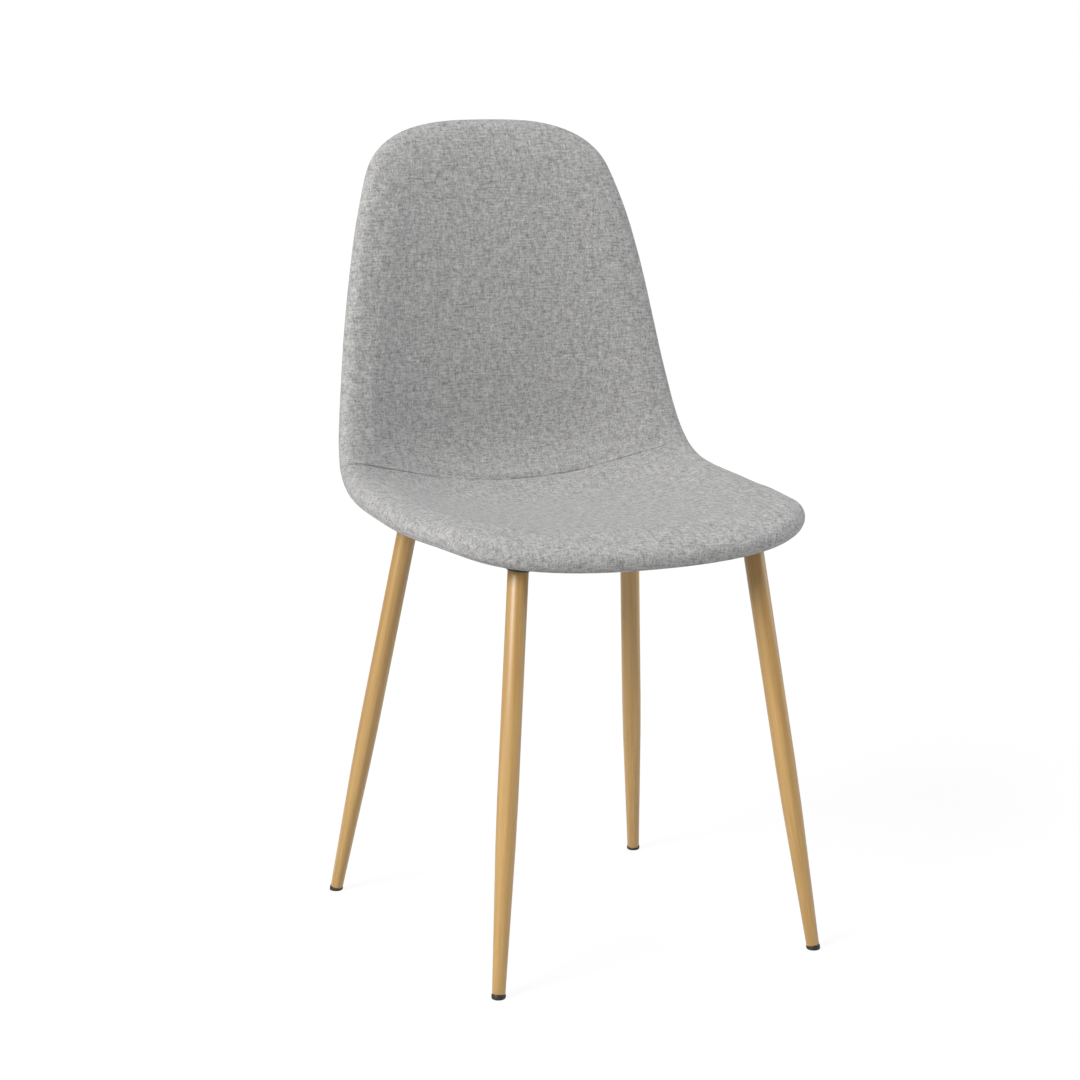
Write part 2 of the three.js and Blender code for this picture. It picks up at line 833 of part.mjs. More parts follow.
const finishes = {
  shell_board: 'board',
  seat_foam: 'foam',
  back_foam: 'foam',
  crease_listing: 'listing',
  rear_wadding: 'wadding',
  seat_cover: 'fabric',
  back_cover: 'fabric',
  rear_cover: 'fabric',
  underside_liner: 'liner',
};
for (const [name, finish] of Object.entries(finishes)) {
  addPiece(name, shell[name], finish);
}
for (const corner of corners) {
  addLeg(corner);
  addPlate(corner);
  corner.bolts.forEach((place, i) => addFastener(corner, place, i + 1));
}

// The origin is on the floor, under the middle of the whole chair
const whole = new THREE.Box3().setFromObject(chair);
const middle = whole.getCenter(new THREE.Vector3());
chair.position.set(-middle.x, -middle.y, -whole.min.z);

export default chair;
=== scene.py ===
# %% [markdown]
# # An upholstered dining chair
#
# The chair is one padded shell, seat and back together, on four tapered legs of steel tube.
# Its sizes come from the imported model, which is loaded here and never moved or changed. This
# lesson makes what is seen: the woven covers over the foam, the wood-grain film on the legs, the
# foot glides, and the plates, bolts and dust liner under the seat. Everything is in metres,
# with +Z up, the front towards -Y, and the floor at Z = 0.

import math

import bmesh
import bpy
import numpy as np
from mathutils import Matrix, Vector


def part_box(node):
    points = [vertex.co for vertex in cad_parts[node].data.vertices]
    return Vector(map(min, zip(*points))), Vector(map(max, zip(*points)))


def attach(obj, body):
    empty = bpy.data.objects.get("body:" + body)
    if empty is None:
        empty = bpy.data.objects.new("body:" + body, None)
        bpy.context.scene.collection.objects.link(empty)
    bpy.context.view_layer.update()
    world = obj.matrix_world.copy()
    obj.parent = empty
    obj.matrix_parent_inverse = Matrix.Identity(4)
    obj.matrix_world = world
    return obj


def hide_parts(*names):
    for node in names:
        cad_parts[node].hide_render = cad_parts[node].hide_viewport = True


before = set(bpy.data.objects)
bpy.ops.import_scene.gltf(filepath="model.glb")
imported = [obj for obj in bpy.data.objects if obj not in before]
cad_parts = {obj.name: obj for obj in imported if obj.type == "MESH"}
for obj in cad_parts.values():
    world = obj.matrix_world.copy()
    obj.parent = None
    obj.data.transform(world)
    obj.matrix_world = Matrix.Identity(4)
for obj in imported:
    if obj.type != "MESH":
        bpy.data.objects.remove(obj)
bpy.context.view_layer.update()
body = "root"
corners = ("front_left", "front_right", "rear_left", "rear_right")

# %% [markdown]
# ## Helpers for working by hand
#
# Blender's modelling operators act on whatever is selected. These few helpers clear the
# selection, pick faces or edges by a test on where they are, and apply a modifier or join pieces,
# so that each piece below can be modelled as at a desk.


# %% Helpers for selecting and finishing
def deselect_all():
    """Leaves edit mode and selects nothing, so that the next operator acts on its own piece."""
    if bpy.context.object is not None and bpy.context.object.mode != "OBJECT":
        bpy.ops.object.mode_set(mode="OBJECT")
    bpy.ops.object.select_all(action="DESELECT")


def activate(*pieces):
    """Selects only these pieces and makes the first one active."""
    deselect_all()
    for piece in pieces:
        piece.select_set(True)
    bpy.context.view_layer.objects.active = pieces[0]


def added(name):
    """The piece that the last operator made, under its own name."""
    piece = bpy.context.object
    piece.name = name
    return piece


def join(pieces, name):
    activate(*pieces)
    bpy.ops.object.join()
    return added(name)


def pick(piece, kind, test=lambda part: True):
    """Opens edit mode with only the faces, edges or vertices selected that pass the test."""
    activate(piece)
    bpy.ops.object.mode_set(mode="EDIT")
    bpy.ops.mesh.select_mode(type=kind)
    bpy.ops.mesh.select_all(action="DESELECT")
    mesh = bmesh.from_edit_mesh(piece.data)
    for part in {"FACE": mesh.faces, "EDGE": mesh.edges, "VERT": mesh.verts}[kind]:
        if test(part):
            part.select_set(True)
    mesh.select_flush_mode()
    bmesh.update_edit_mesh(piece.data)


def apply_modifier(piece, kind, **settings):
    """Adds one modifier with the given settings and applies it at once."""
    activate(piece)
    modifier = piece.modifiers.new(kind.lower(), kind)
    for name, value in settings.items():
        setattr(modifier, name, value)
    bpy.ops.object.modifier_apply(modifier=modifier.name)


def soften(piece, width, degrees):
    """Rounds the edges that are sharper than an angle."""
    apply_modifier(piece, "BEVEL", width=width, segments=2, limit_method="ANGLE",
                   angle_limit=math.radians(degrees))


def points_of(piece):
    return np.array([vertex.co for vertex in piece.data.vertices])


def move_points(piece, points):
    piece.data.vertices.foreach_set("co", points.astype(np.float32).ravel())
    piece.data.update()


def place_mesh(piece, matrix=Matrix.Identity(4)):
    """Puts the place into the mesh itself, so that the object stays at the origin."""
    deselect_all()
    piece.data.transform(matrix @ piece.matrix_basis)
    piece.matrix_basis = Matrix.Identity(4)
    piece.data.update()


def smooth(piece, degrees):
    """Shades a piece smoothly, apart from edges that are sharper than the angle."""
    activate(piece)
    bpy.ops.object.shade_smooth_by_angle(angle=math.radians(degrees))


def finish_piece(piece, material, slot, *nodes):
    """Gives a finished piece its material, sets it on the body, and hides the nodes of the model
    that it stands for.
    """
    piece.data.materials.clear()
    piece.data.materials.append(material)
    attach(piece, body)
    if nodes:
        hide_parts(*nodes)
    print(piece.name, len(piece.data.polygons), "faces")

# %% [markdown]
# ## Camera
#
# The photograph was taken from the chair's front left, a little above it, with a long lens, so
# lines that run away from the camera hardly shorten. The camera stands where the legs, the
# outline and the crease of the photograph line up with the model.

# %% Camera
camera_azimuth = math.radians(-25.92)
camera_elevation = math.radians(10.13)
camera_place = (-1.4251, -2.8677, 0.9987)
focal_length_mm = 99.24
sensor_width_mm = 36.0

towards_camera = Vector((
    math.sin(camera_azimuth) * math.cos(camera_elevation),
    -math.cos(camera_azimuth) * math.cos(camera_elevation),
    math.sin(camera_elevation),
))
deselect_all()
bpy.ops.object.camera_add(location=camera_place)
camera = added("camera")
camera.rotation_mode = "QUATERNION"
camera.rotation_quaternion = towards_camera.to_track_quat("Z", "Y")
camera.data.lens = focal_length_mm
camera.data.sensor_width = sensor_width_mm
bpy.context.scene.camera = camera
print("camera looks down by", round(math.degrees(camera_elevation), 2), "degrees")

# %% [markdown]
# ## Light
#
# A product photograph of this kind is lit by big soft lamps in a white room. The white room is
# the world's own light, and the camera sees it as plain white. One broad lamp from the upper
# left models the forms, a weaker one from the right keeps that side open, and two more reach
# the seat from above and the rim and the rear from behind. They shine from so far away that
# the whole floor is lit alike.

# %% Light
room_brightness = 0.28

world = bpy.data.worlds.new("studio")
world.use_nodes = True
bpy.context.scene.world = world
room = world.node_tree
room_light, white = room.nodes["Background"], room.nodes.new("ShaderNodeBackground")
for background, colour, strength in (
    (room_light, (0.985, 0.99, 1.0, 1.0), room_brightness), (white, (1.0, 1.0, 1.0, 1.0), 1.0),
):
    background.inputs["Color"].default_value = colour
    background.inputs["Strength"].default_value = strength
seen = room.nodes.new("ShaderNodeLightPath")
either = room.nodes.new("ShaderNodeMixShader")
room.links.new(seen.outputs["Is Camera Ray"], either.inputs["Fac"])
room.links.new(room_light.outputs["Background"], either.inputs[1])
room.links.new(white.outputs["Background"], either.inputs[2])
room.links.new(either.outputs["Shader"], room.nodes["World Output"].inputs["Surface"])
bpy.context.scene.view_settings.view_transform = "Standard"


def add_lamp(name, comes_from, softness, strength, colour):
    """A soft lamp far away, as wide as softness in degrees, whose light comes from a side."""
    deselect_all()
    bpy.ops.object.light_add(type="SUN", location=comes_from)
    lamp = added(name)
    lamp.data.angle = math.radians(softness)
    lamp.data.energy = strength
    lamp.data.color = colour
    lamp.rotation_euler = Vector(comes_from).to_track_quat("Z", "Y").to_euler()


add_lamp("key_lamp", (-2.6, -1.0, 1.8), 25.0, 3.05, (1.0, 0.985, 0.96))
add_lamp("side_lamp", (2.8, -0.6, 1.6), 45.0, 1.45, (0.97, 0.985, 1.0))
add_lamp("top_lamp", (0.2, 0.2, 2.7), 45.0, 0.45, (1.0, 1.0, 1.0))
add_lamp("rear_lamp", (-2.4, 1.2, 1.8), 45.0, 0.45, (1.0, 1.0, 1.0))

# %% [markdown]
# ## The form of the shell
#
# The shell bends like a sheet of plywood in a press: nearly flat under the sitter, a quarter
# turn up into the back, and a slight curl at the top. Its sides stand up in a shallow dish. The
# form is a formula, because a formula gives the covers the same smooth surface at any
# fineness: a point is named by its station along the side profile and its distance across.

# %% The form of the shell
lip_height = 0.4435
lip_length = 0.078
lip_rise = 9.0
seat_slope = -2.0
seat_length = 0.259
bend_radius = 0.130
bend_ease = 0.6
back_recline = 5.75
back_length = 0.3125
back_bow = 2.0
top_curl = 9.0
top_curl_power = 1.5
cover_radius = 0.0134
profile_points = 1201

lip_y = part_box("seat_cover")[0].y + cover_radius
bend_angle = 90.0 - back_recline - seat_slope
bend_length = bend_radius * math.radians(bend_angle)
bend_end = seat_length + bend_length
shell_length = bend_end + back_length


def within(share):
    """The share, held between 0 and 1."""
    return np.clip(share, 0.0, 1.0)


def ease(share):
    """A soft step from 0 to 1, level outside them."""
    share = within(share)
    return share * share * (3.0 - 2.0 * share)


def heading(station):
    """The angle at which the side profile climbs, in radians."""
    lip = lip_rise * (1.0 - ease(station / lip_length))
    bend = within((station - seat_length) / bend_length)
    eased = bend - bend_ease * np.sin(2.0 * np.pi * bend) / (2.0 * np.pi)
    back = within((station - bend_end) / back_length)
    bow = back_bow * np.sin(np.pi * back)
    curl = top_curl * back**top_curl_power
    return np.radians(seat_slope + lip + bend_angle * eased + bow - curl)


profile_stations = np.linspace(0.0, shell_length, profile_points)
profile_steps = np.diff(profile_stations)
profile_headings = heading(profile_stations[:-1] + profile_steps / 2.0)
profile_y = lip_y + np.append(0.0, np.cumsum(np.cos(profile_headings) * profile_steps))
profile_z = lip_height + np.append(0.0, np.cumsum(np.sin(profile_headings) * profile_steps))
print("shell profile:", round(shell_length, 4), "m long, top at", round(profile_z[-1], 4))

# %% [markdown]
# The widths and the depth of the dish are known at a few stations only. A smooth curve that
# never swings past its values joins them, which keeps the outline as quiet as the real one.


# %% Widths and dish
def smooth_curve(places, values):
    """A function through the values that never swings past them."""
    places, values = np.array(places), np.array(values)
    gaps = np.diff(places)
    rises = np.diff(values) / gaps
    slopes = np.zeros(len(values))
    for i in range(1, len(values) - 1):
        if rises[i - 1] * rises[i] > 0.0:
            before = 2.0 * gaps[i] + gaps[i - 1]
            after = gaps[i] + 2.0 * gaps[i - 1]
            slopes[i] = (before + after) / (before / rises[i - 1] + after / rises[i])
    slopes[-1] = rises[-1]

    def curve(place):
        i = np.clip(np.searchsorted(places, place) - 1, 0, len(gaps) - 1)
        u = within((place - places[i]) / gaps[i])
        bulge = gaps[i] * u * (1.0 - u) * (slopes[i] * (1.0 - u) - slopes[i + 1] * u)
        return values[i] * (1.0 - ease(u)) + values[i + 1] * ease(u) + bulge

    return curve


bend_middle = seat_length + bend_length / 2.0
body_half_width = smooth_curve(
    [
        0.0, 0.22 * seat_length, 0.6 * seat_length, bend_middle,
        bend_end + 0.2 * back_length, bend_end + 0.6 * back_length, shell_length,
    ],
    [0.1985, 0.1985, 0.2095, 0.2035, 0.1825, 0.1595, 0.120],
)
dish_depth = smooth_curve(
    [
        0.0, 0.25 * seat_length, 0.6 * seat_length, bend_middle,
        bend_end + 0.35 * back_length, shell_length,
    ],
    [0.0115, 0.0225, 0.0275, 0.0505, 0.0335, 0.0335],
)
dish_width = 0.220
dish_power = 2.3
probe = 0.001


def middle_surface(station, across):
    """Points of the shell's middle surface."""
    lift = dish_depth(station) * np.abs(across / dish_width) ** dish_power
    turn = heading(station)
    y = np.interp(station, profile_stations, profile_y) - np.sin(turn) * lift
    z = np.interp(station, profile_stations, profile_z) + np.cos(turn) * lift
    return np.stack([across + 0.0 * y, y, z], axis=-1)


def unit(vectors):
    return vectors / np.linalg.norm(vectors, axis=-1, keepdims=True)


def front_normal(station, across):
    """The direction out of the front of the shell."""
    before = np.maximum(station - probe, 0.0)
    after = np.minimum(station + probe, shell_length)
    along = middle_surface(after, across) - middle_surface(before, across)
    side = middle_surface(station, across + probe) - middle_surface(station, across - probe)
    return unit(np.cross(side, along))


print("half width at the crease:", round(float(body_half_width(bend_middle)), 4))

# %% [markdown]
# ## The outline
#
# The edge of the shell is a fat roll of foam. Its centre follows an outline with big soft
# corners at the front and tighter ones at the top. The outline is walked once, from the middle
# of the front to the middle of the top, and every point on it is named by the distance walked.

# %% The outline
front_corner_length = 0.0775
front_corner_power = 2.28
top_corner_length = 0.0585
top_corner_power = 2.76
corner_points = 241
side_points = 601


def corner_curve(length, power, from_end):
    """A quarter of a soft corner: stations and half widths, from the middle outwards."""
    angle = np.linspace(0.0, np.pi / 2.0, corner_points)
    reach = length * (1.0 - within(np.cos(angle)) ** (2.0 / power))
    station = shell_length - reach if from_end else reach
    return station, body_half_width(station) * np.sin(angle) ** (2.0 / power)


front_corner = corner_curve(front_corner_length, front_corner_power, False)
top_corner = corner_curve(top_corner_length, top_corner_power, True)
side_stations = np.linspace(
    front_corner_length, shell_length - top_corner_length, side_points
)[1:-1]
outline_station = np.concatenate([front_corner[0], side_stations, top_corner[0][::-1]])
side_widths = body_half_width(side_stations)
outline_width = np.concatenate([front_corner[1], side_widths, top_corner[1][::-1]])
outline_steps = np.diff(middle_surface(outline_station, outline_width), axis=0)
outline_walk = np.append(0.0, np.cumsum(np.linalg.norm(outline_steps, axis=1)))
outline_end = outline_walk[-1]


def outline_at(walk):
    """Station and half width of the outline after a distance walked."""
    walk = np.clip(walk, 0.0, outline_end)
    return (
        np.interp(walk, outline_walk, outline_station),
        np.interp(walk, outline_walk, outline_width),
    )


def walk_to(station):
    """The distance walked when the outline's side passes a station."""
    return float(np.interp(station, outline_station, outline_walk))


print("half the outline is", round(outline_end, 4), "m long")

# %% [markdown]
# ## Rows across the shell
#
# Each point of the outline is joined to the middle of the shell by a row. Rows at the front and
# at the top fan out from one place, and the rows between them run straight across, bent a
# little as the crease is. A share from 0 to 1 says how far along its row a point lies.

# %% Rows across the shell
crease_past_seat = 0.093
crease_bow = 0.018
front_fan = 0.115
top_fan_length = 0.120

crease_station = seat_length + crease_past_seat
crease_rim = crease_station + crease_bow
top_fan = shell_length - top_fan_length


def row_point(walk, share):
    """Station and distance across of a point on the row that ends at an outline point."""
    rim, width = outline_at(walk)
    middle = np.interp(
        rim, [front_fan, crease_rim, top_fan], [front_fan, crease_station, top_fan]
    )
    fanned = (rim < front_fan) | (rim > top_fan)
    power = np.where(fanned, 1.0, 2.0)
    return middle + (rim - middle) * share**power, width * share


def crease_distance(station, across):
    """How far a point lies behind the crease, measured along the shell."""
    half_width = float(body_half_width(crease_rim))
    bow = (crease_rim - crease_station) * (across / half_width) ** 2
    return station - crease_station - bow


print("crease at station", crease_station, "in the middle and", crease_rim, "at the rim")

# %% [markdown]
# ## Cloth cut flat
#
# An upholsterer cuts the cover flat and pulls it round the edge. The mesh is made the same way:
# a grid is laid out flat, rings are extruded all round it for the part that goes over the roll,
# and then every vertex is carried to its place on the shell. Rings give the roll even
# strips that follow the outline, which a plain grid couldn't do at the corners.


# %% Flat cloth
def flat_cloth(name, columns, rows, rings):
    """A flat grid of unit cells with rings of cells round it."""
    deselect_all()
    bpy.ops.mesh.primitive_grid_add(x_subdivisions=2 * columns, y_subdivisions=rows, size=2.0)
    cloth = added(name)
    cloth.data.name = name
    cloth.scale = (columns, rows / 2.0, 1.0)
    bpy.ops.object.transform_apply(scale=True)
    if rings:
        bpy.ops.object.mode_set(mode="EDIT")
        bpy.ops.mesh.select_all(action="SELECT")
        bpy.ops.mesh.region_to_loop()
        for ring in range(rings):
            wide, long = columns + ring, rows / 2.0 + ring
            bpy.ops.mesh.extrude_edges_move()
            bpy.ops.transform.resize(value=((wide + 1.0) / wide, (long + 1.0) / long, 1.0))
        bpy.ops.object.mode_set(mode="OBJECT")
    return cloth


def cloth_places(cloth, columns, rows):
    """Column, row and ring number of each vertex of a flat cloth."""
    flat = points_of(cloth)
    half = rows / 2.0
    ring = np.maximum(np.maximum(np.abs(flat[:, 0]) - columns, np.abs(flat[:, 1]) - half), 0.0)
    ring = np.round(ring)
    column = flat[:, 0] * columns / (columns + ring)
    row = flat[:, 1] * half / (half + ring) + half
    return column, row, ring


# %% [markdown]
# ## From flat to formed
#
# The grid covers the inner part of each face. Its four edges are known curves, so the inside
# is blended from them, once for the seat and once for the back, with the crease as their
# common edge. The rings first carry on outwards over the face, and then turn round the roll.

# %% From flat to formed
patch_share = 0.72
quarter = len(front_corner[0])
corner_turn_share = 0.75
front_corner_walk = float(np.interp(
    corner_turn_share * outline_width[quarter - 1], outline_width[:quarter], outline_walk[:quarter]
))
top_corner_walk = float(np.interp(
    -corner_turn_share * outline_width[-quarter], -outline_width[-quarter:], outline_walk[-quarter:]
))
crease_walk = walk_to(crease_rim)


def on_row(walk, share):
    return np.stack(row_point(walk, share), axis=-1)


def blended(u, v, near, far, side):
    """A patch from the middle line out, blended from its near, far and side edges."""
    none, full = np.zeros_like(u), np.ones_like(u)
    near_in, near_out, far_in, far_out = near(none), near(full), far(none), far(full)
    across, along = u[:, None], v[:, None]
    inner = (1.0 - along) * near_in + along * far_in
    outer = (1.0 - along) * near_out + along * far_out
    bilinear = (1.0 - across) * inner + across * outer
    lines = (1.0 - across) * inner + across * side(v)
    rows = (1.0 - along) * near(u) + along * far(u)
    return lines + rows - bilinear


def patch_places(u, walk, share):
    """Stations and distances across for the grid, whose edge lies at a share of each row."""
    def near(x):
        return on_row(front_corner_walk * x, share)

    def crease(x):
        return on_row(crease_walk + 0.0 * x, share * x)

    def far(x):
        return on_row(outline_end - (outline_end - top_corner_walk) * x, share)

    seat_v = within((walk - front_corner_walk) / (crease_walk - front_corner_walk))
    back_v = within((walk - crease_walk) / (top_corner_walk - crease_walk))
    seat = blended(u, seat_v, near, crease, lambda v: on_row(
        front_corner_walk + (crease_walk - front_corner_walk) * v, share))
    back = blended(u, back_v, crease, far, lambda v: on_row(
        crease_walk + (top_corner_walk - crease_walk) * v, share))
    return np.where((walk > crease_walk)[:, None], back, seat).T


print("the grid's corners lie after", round(front_corner_walk, 4), "m of the outline")

# %% [markdown]
# The foam is thickest well inside the edge. The roll is round up to a steep angle, and from
# there a slow rise carries on to the crown, so the light fades softly over the edge.
#
# The rows are spaced evenly except near the crease, where they crowd together so that the
# fold can be sharp. Every vertex then has a row, a share along it and, on the rings
# that go round the roll, an angle. Its place in the flat cloth is kept as a UV map in metres,
# and the weave reads that map, so the threads follow the cloth over the edge.


# %% Carrying the cloth to its place
crown_angle = 60.0
crown_reach = 0.050
crown_rise = 0.0044
fold_fade_angle = -20.0
fold_fade_span = 60.0
on_edge = 1e-3


def row_walks(cell, fine_steps):
    """Where the rows meet the outline: even steps, and finer ones on both sides of the crease."""
    near = crease_walk - sum(fine_steps)
    far = crease_walk + sum(fine_steps)
    seat = np.linspace(front_corner_walk, near, round((near - front_corner_walk) / cell) + 1)
    back = np.linspace(far, top_corner_walk, round((top_corner_walk - far) / cell) + 1)
    offsets = np.cumsum(fine_steps)
    before = crease_walk - offsets[::-1]
    after = crease_walk + offsets
    return np.concatenate([seat[:-1], before, [crease_walk], after, back[1:]])


def roll_frame(walk):
    """Centre of the edge roll, the way out of the shell's front and the way out of its edge."""
    station, width = outline_at(walk)
    centre = middle_surface(station, width)
    normal = front_normal(station, width)
    ahead = middle_surface(*outline_at(walk + probe))
    behind = middle_surface(*outline_at(walk - probe))
    tangent = ahead - behind
    tangent[walk < probe] = (1.0, 0.0, 0.0)
    tangent[walk > outline_end - probe] = (-1.0, 0.0, 0.0)
    return centre, normal, unit(np.cross(tangent, normal))


def edge_distance(station, across):
    """How far a place on the shell lies inside the outline."""
    away = np.hypot(
        np.asarray(station)[:, None] - outline_station[None, ::4],
        np.asarray(across)[:, None] - outline_width[None, ::4],
    )
    return away.min(axis=1)


def round_height(past_edge):
    """The height of the plain round roll over the middle surface."""
    return np.sqrt(np.maximum(cover_radius**2 - past_edge.clip(0.0) ** 2, 0.0))


def crowned_height(past_edge):
    """The height of the padding: the round roll, and then a slow rise to the crown."""
    start = cover_radius * math.cos(math.radians(crown_angle))
    base = cover_radius * math.sin(math.radians(crown_angle))
    gone = within((start - past_edge) / (start + crown_reach))
    rise = cover_radius + crown_rise - base
    power = (start + crown_reach) / rise / math.tan(math.radians(crown_angle))
    return np.where(
        past_edge > start, round_height(past_edge), base + rise * (1.0 - (1.0 - gone) ** power)
    )


def flat_direction(walk):
    """The way out of the outline in the flat cloth."""
    station_ahead, width_ahead = outline_at(walk + probe)
    station_behind, width_behind = outline_at(walk - probe)
    run = np.stack([station_ahead - station_behind, width_behind - width_ahead], axis=-1)
    run[walk < probe] = (0.0, -1.0)
    run[walk > outline_end - probe] = (0.0, 1.0)
    return unit(run)


def formed_cloth(
    name, cell, walks, face_rings, roll, height, groove, facing, grid_share=patch_share
):
    """A cloth cut flat and carried to the shell's front (facing 1) or its rear (facing -1).

    roll lists the angle and the radius of each ring round the roll, height gives the cover's
    distance from the middle surface for a distance past the outline, groove gives the
    depth of the fold at each place, and the grid's edge lies at the given share of each row.
    The cloth is returned with the row and the ring of each of its vertices.
    """
    columns = round(front_corner_walk / cell)
    cloth = flat_cloth(name, columns, len(walks) - 1, face_rings + len(roll))
    column, row, ring = cloth_places(cloth, columns, len(walks) - 1)
    side = np.where(column < 0.0, -1.0, 1.0)
    u = np.abs(column) / columns
    row_walk = np.interp(row, np.arange(len(walks)), walks)
    on_front = np.abs(row) < on_edge
    on_top = np.abs(row - (len(walks) - 1)) < on_edge
    walk = np.where(on_front, front_corner_walk * u, row_walk)
    walk = np.where(on_top, outline_end - (outline_end - top_corner_walk) * u, walk)
    station, across = patch_places(u, row_walk, grid_share)
    face_ring = np.minimum(ring, face_rings)
    share = grid_share + (1.0 - grid_share) * face_ring / max(face_rings, 1)
    ring_station, ring_across = row_point(walk, share)
    station = np.where(ring > 0, ring_station, station)
    across = np.where(ring > 0, ring_across, across)
    lift = facing * (height(-edge_distance(station, across)) - groove(station, side * across))
    points = middle_surface(station, across) + front_normal(station, across) * lift[:, None]
    flat = np.stack([across, station], axis=-1)

    turned = ring > face_rings
    angles = np.radians(np.array([0.0] + [angle for angle, radius in roll]))
    radii = np.array([0.0] + [radius for angle, radius in roll])
    turn = (ring - face_rings).clip(0).astype(int)
    centre, normal, outward = roll_frame(walk)
    edge_station, edge_width = outline_at(walk)
    fade = ease((np.degrees(angles[turn]) - fold_fade_angle) / fold_fade_span)
    radius = radii[turn] - groove(edge_station, side * edge_width) * fade
    past_edge = radius * np.cos(angles[turn])
    crown = (height(past_edge) - round_height(past_edge)) * (angles[turn] > 0.0)
    round_edge = (
        centre + outward * past_edge[:, None]
        + normal * (radius * np.sin(angles[turn]) + crown)[:, None]
    )
    points = np.where(turned[:, None], round_edge, points)
    gone_round = cover_radius * (np.pi / 2.0 - facing * angles[turn])
    edge_flat = np.stack([edge_width, edge_station], axis=-1)
    out = flat_direction(walk) * gone_round[:, None]
    flat = np.where(turned[:, None], edge_flat + out, flat)
    points[:, 0] *= side
    flat[:, 0] *= side
    move_points(cloth, points)
    layer = cloth.data.uv_layers.active or cloth.data.uv_layers.new(name="cloth")
    layer.name = "cloth"
    corners_of = np.array([loop.vertex_index for loop in cloth.data.loops])
    layer.data.foreach_set("uv", flat[corners_of].astype(np.float32).ravel())
    if facing < 0:
        cloth.data.flip_normals()
    cloth.data.update()
    return cloth, row, ring


# %% [markdown]
# ## Finishes
#
# Every finish is procedural. An effect that more than one finish uses, such as the weave or the
# wood grain, is a node group: its numbers are given in metres where it is placed, so the
# same weave can be a coarse cover on the outside and a fine tape in the crease.


# %% Helpers for node trees
class Tree:
    """Short ways to add and link nodes in one tree."""

    def __init__(self, tree):
        self.tree = tree

    def link(self, output, socket):
        self.tree.links.new(output, socket)

    def add(self, kind, inputs=(), **settings):
        node = self.tree.nodes.new(kind)
        for name, value in settings.items():
            setattr(node, name, value)
        for socket, value in dict(inputs).items():
            if isinstance(value, bpy.types.NodeSocket):
                self.link(value, node.inputs[socket])
            else:
                node.inputs[socket].default_value = value
        return node

    def maths(self, operation, first, second):
        return self.add("ShaderNodeMath", {0: first, 1: second}, operation=operation).outputs[0]

    def three(self, x, y, z):
        """Three numbers as one vector."""
        return self.add("ShaderNodeCombineXYZ", {0: x, 1: y, 2: z}).outputs[0]

    def scaled(self, vector, sizes):
        """The vector divided by a size for each axis, or by one size for all three."""
        sizes = (sizes,) * 3 if isinstance(sizes, float) else sizes
        node = self.add("ShaderNodeVectorMath", {0: vector, 1: sizes}, operation="DIVIDE")
        return node.outputs[0]

    def noise(self, vector, sizes, detail, roughness, dimensions="3D"):
        """A noise whose patches are about as large as the sizes, in metres."""
        node = self.add("ShaderNodeTexNoise", {
            "Vector": self.scaled(vector, sizes), "Scale": 1.0,
            "Detail": detail, "Roughness": roughness,
        }, noise_dimensions=dimensions)
        return node.outputs["Fac"]

    def mix_values(self, share, first, second):
        node = self.add("ShaderNodeMix", {0: share, 2: first, 3: second}, data_type="FLOAT")
        return node.outputs[0]

    def mix_colours(self, share, first, second, blend="MIX"):
        node = self.add(
            "ShaderNodeMix", {0: share, 6: first, 7: second}, data_type="RGBA", blend_type=blend
        )
        return node.outputs[2]

    def spread(self, value, low, high, to_low=0.0, to_high=1.0):
        """The value stretched from one range to another, and held at its ends."""
        node = self.add(
            "ShaderNodeMapRange", {0: value, 1: low, 2: high, 3: to_low, 4: to_high}
        )
        return node.outputs[0]


def new_group(name, inputs, outputs):
    """An empty node group, with what is given to it and what it puts out.

    An input without a value is a vector, four numbers are a colour, and one is a plain number.
    """
    group = bpy.data.node_groups.new(name, "ShaderNodeTree")
    for label, value in inputs.items():
        kind = "Vector" if value is None else "Color" if isinstance(value, tuple) else "Float"
        socket = group.interface.new_socket(label, in_out="INPUT", socket_type="NodeSocket" + kind)
        if value is not None:
            socket.default_value = value
    for label in outputs:
        kind = "Color" if label == "Color" else "Float"
        group.interface.new_socket(label, in_out="OUTPUT", socket_type="NodeSocket" + kind)
    given, results = group.nodes.new("NodeGroupInput"), group.nodes.new("NodeGroupOutput")
    return Tree(group), given.outputs, results.inputs


def linear(red, green, blue):
    """A colour from 0 to 255, as seen on a screen, as the shader's linear values."""
    def one(value):
        share = value / 255.0
        return share / 12.92 if share <= 0.04045 else ((share + 0.055) / 1.055) ** 2.4
    return (one(red), one(green), one(blue), 1.0)


def new_material(name, **uniform):
    """A material with one Principled shader, whose uniform numbers are set on its sockets."""
    material = bpy.data.materials.new(name)
    material.use_nodes = True
    shader = material.node_tree.nodes["Principled BSDF"]
    for socket, value in uniform.items():
        shader.inputs[socket.replace("_", " ")].default_value = value
    return material, Tree(material.node_tree), shader


def patterned(name, group, place_of, values, relief, relief_strength=1.0, **uniform):
    """A material with a group's colours and relief, in metres, and its roughness if it has one."""
    material, tree, shader = new_material(name, **uniform)
    values = {"Vector": place_of(tree), **values}
    pattern = tree.add("ShaderNodeGroup", values, node_tree=group.tree).outputs
    bump = tree.add("ShaderNodeBump", {
        "Height": pattern["Height"], "Distance": relief, "Strength": relief_strength,
    })
    tree.link(pattern["Color"], shader.inputs["Base Color"])
    tree.link(bump.outputs["Normal"], shader.inputs["Normal"])
    if "Roughness" in pattern:
        tree.link(pattern["Roughness"], shader.inputs["Roughness"])
    return material


def on_object(tree):
    """The place in the object's own coordinates, in metres."""
    return tree.add("ShaderNodeTexCoord").outputs["Object"]


dark_and_light = {"Dark": linear(120, 120, 120), "Light": linear(200, 200, 200)}

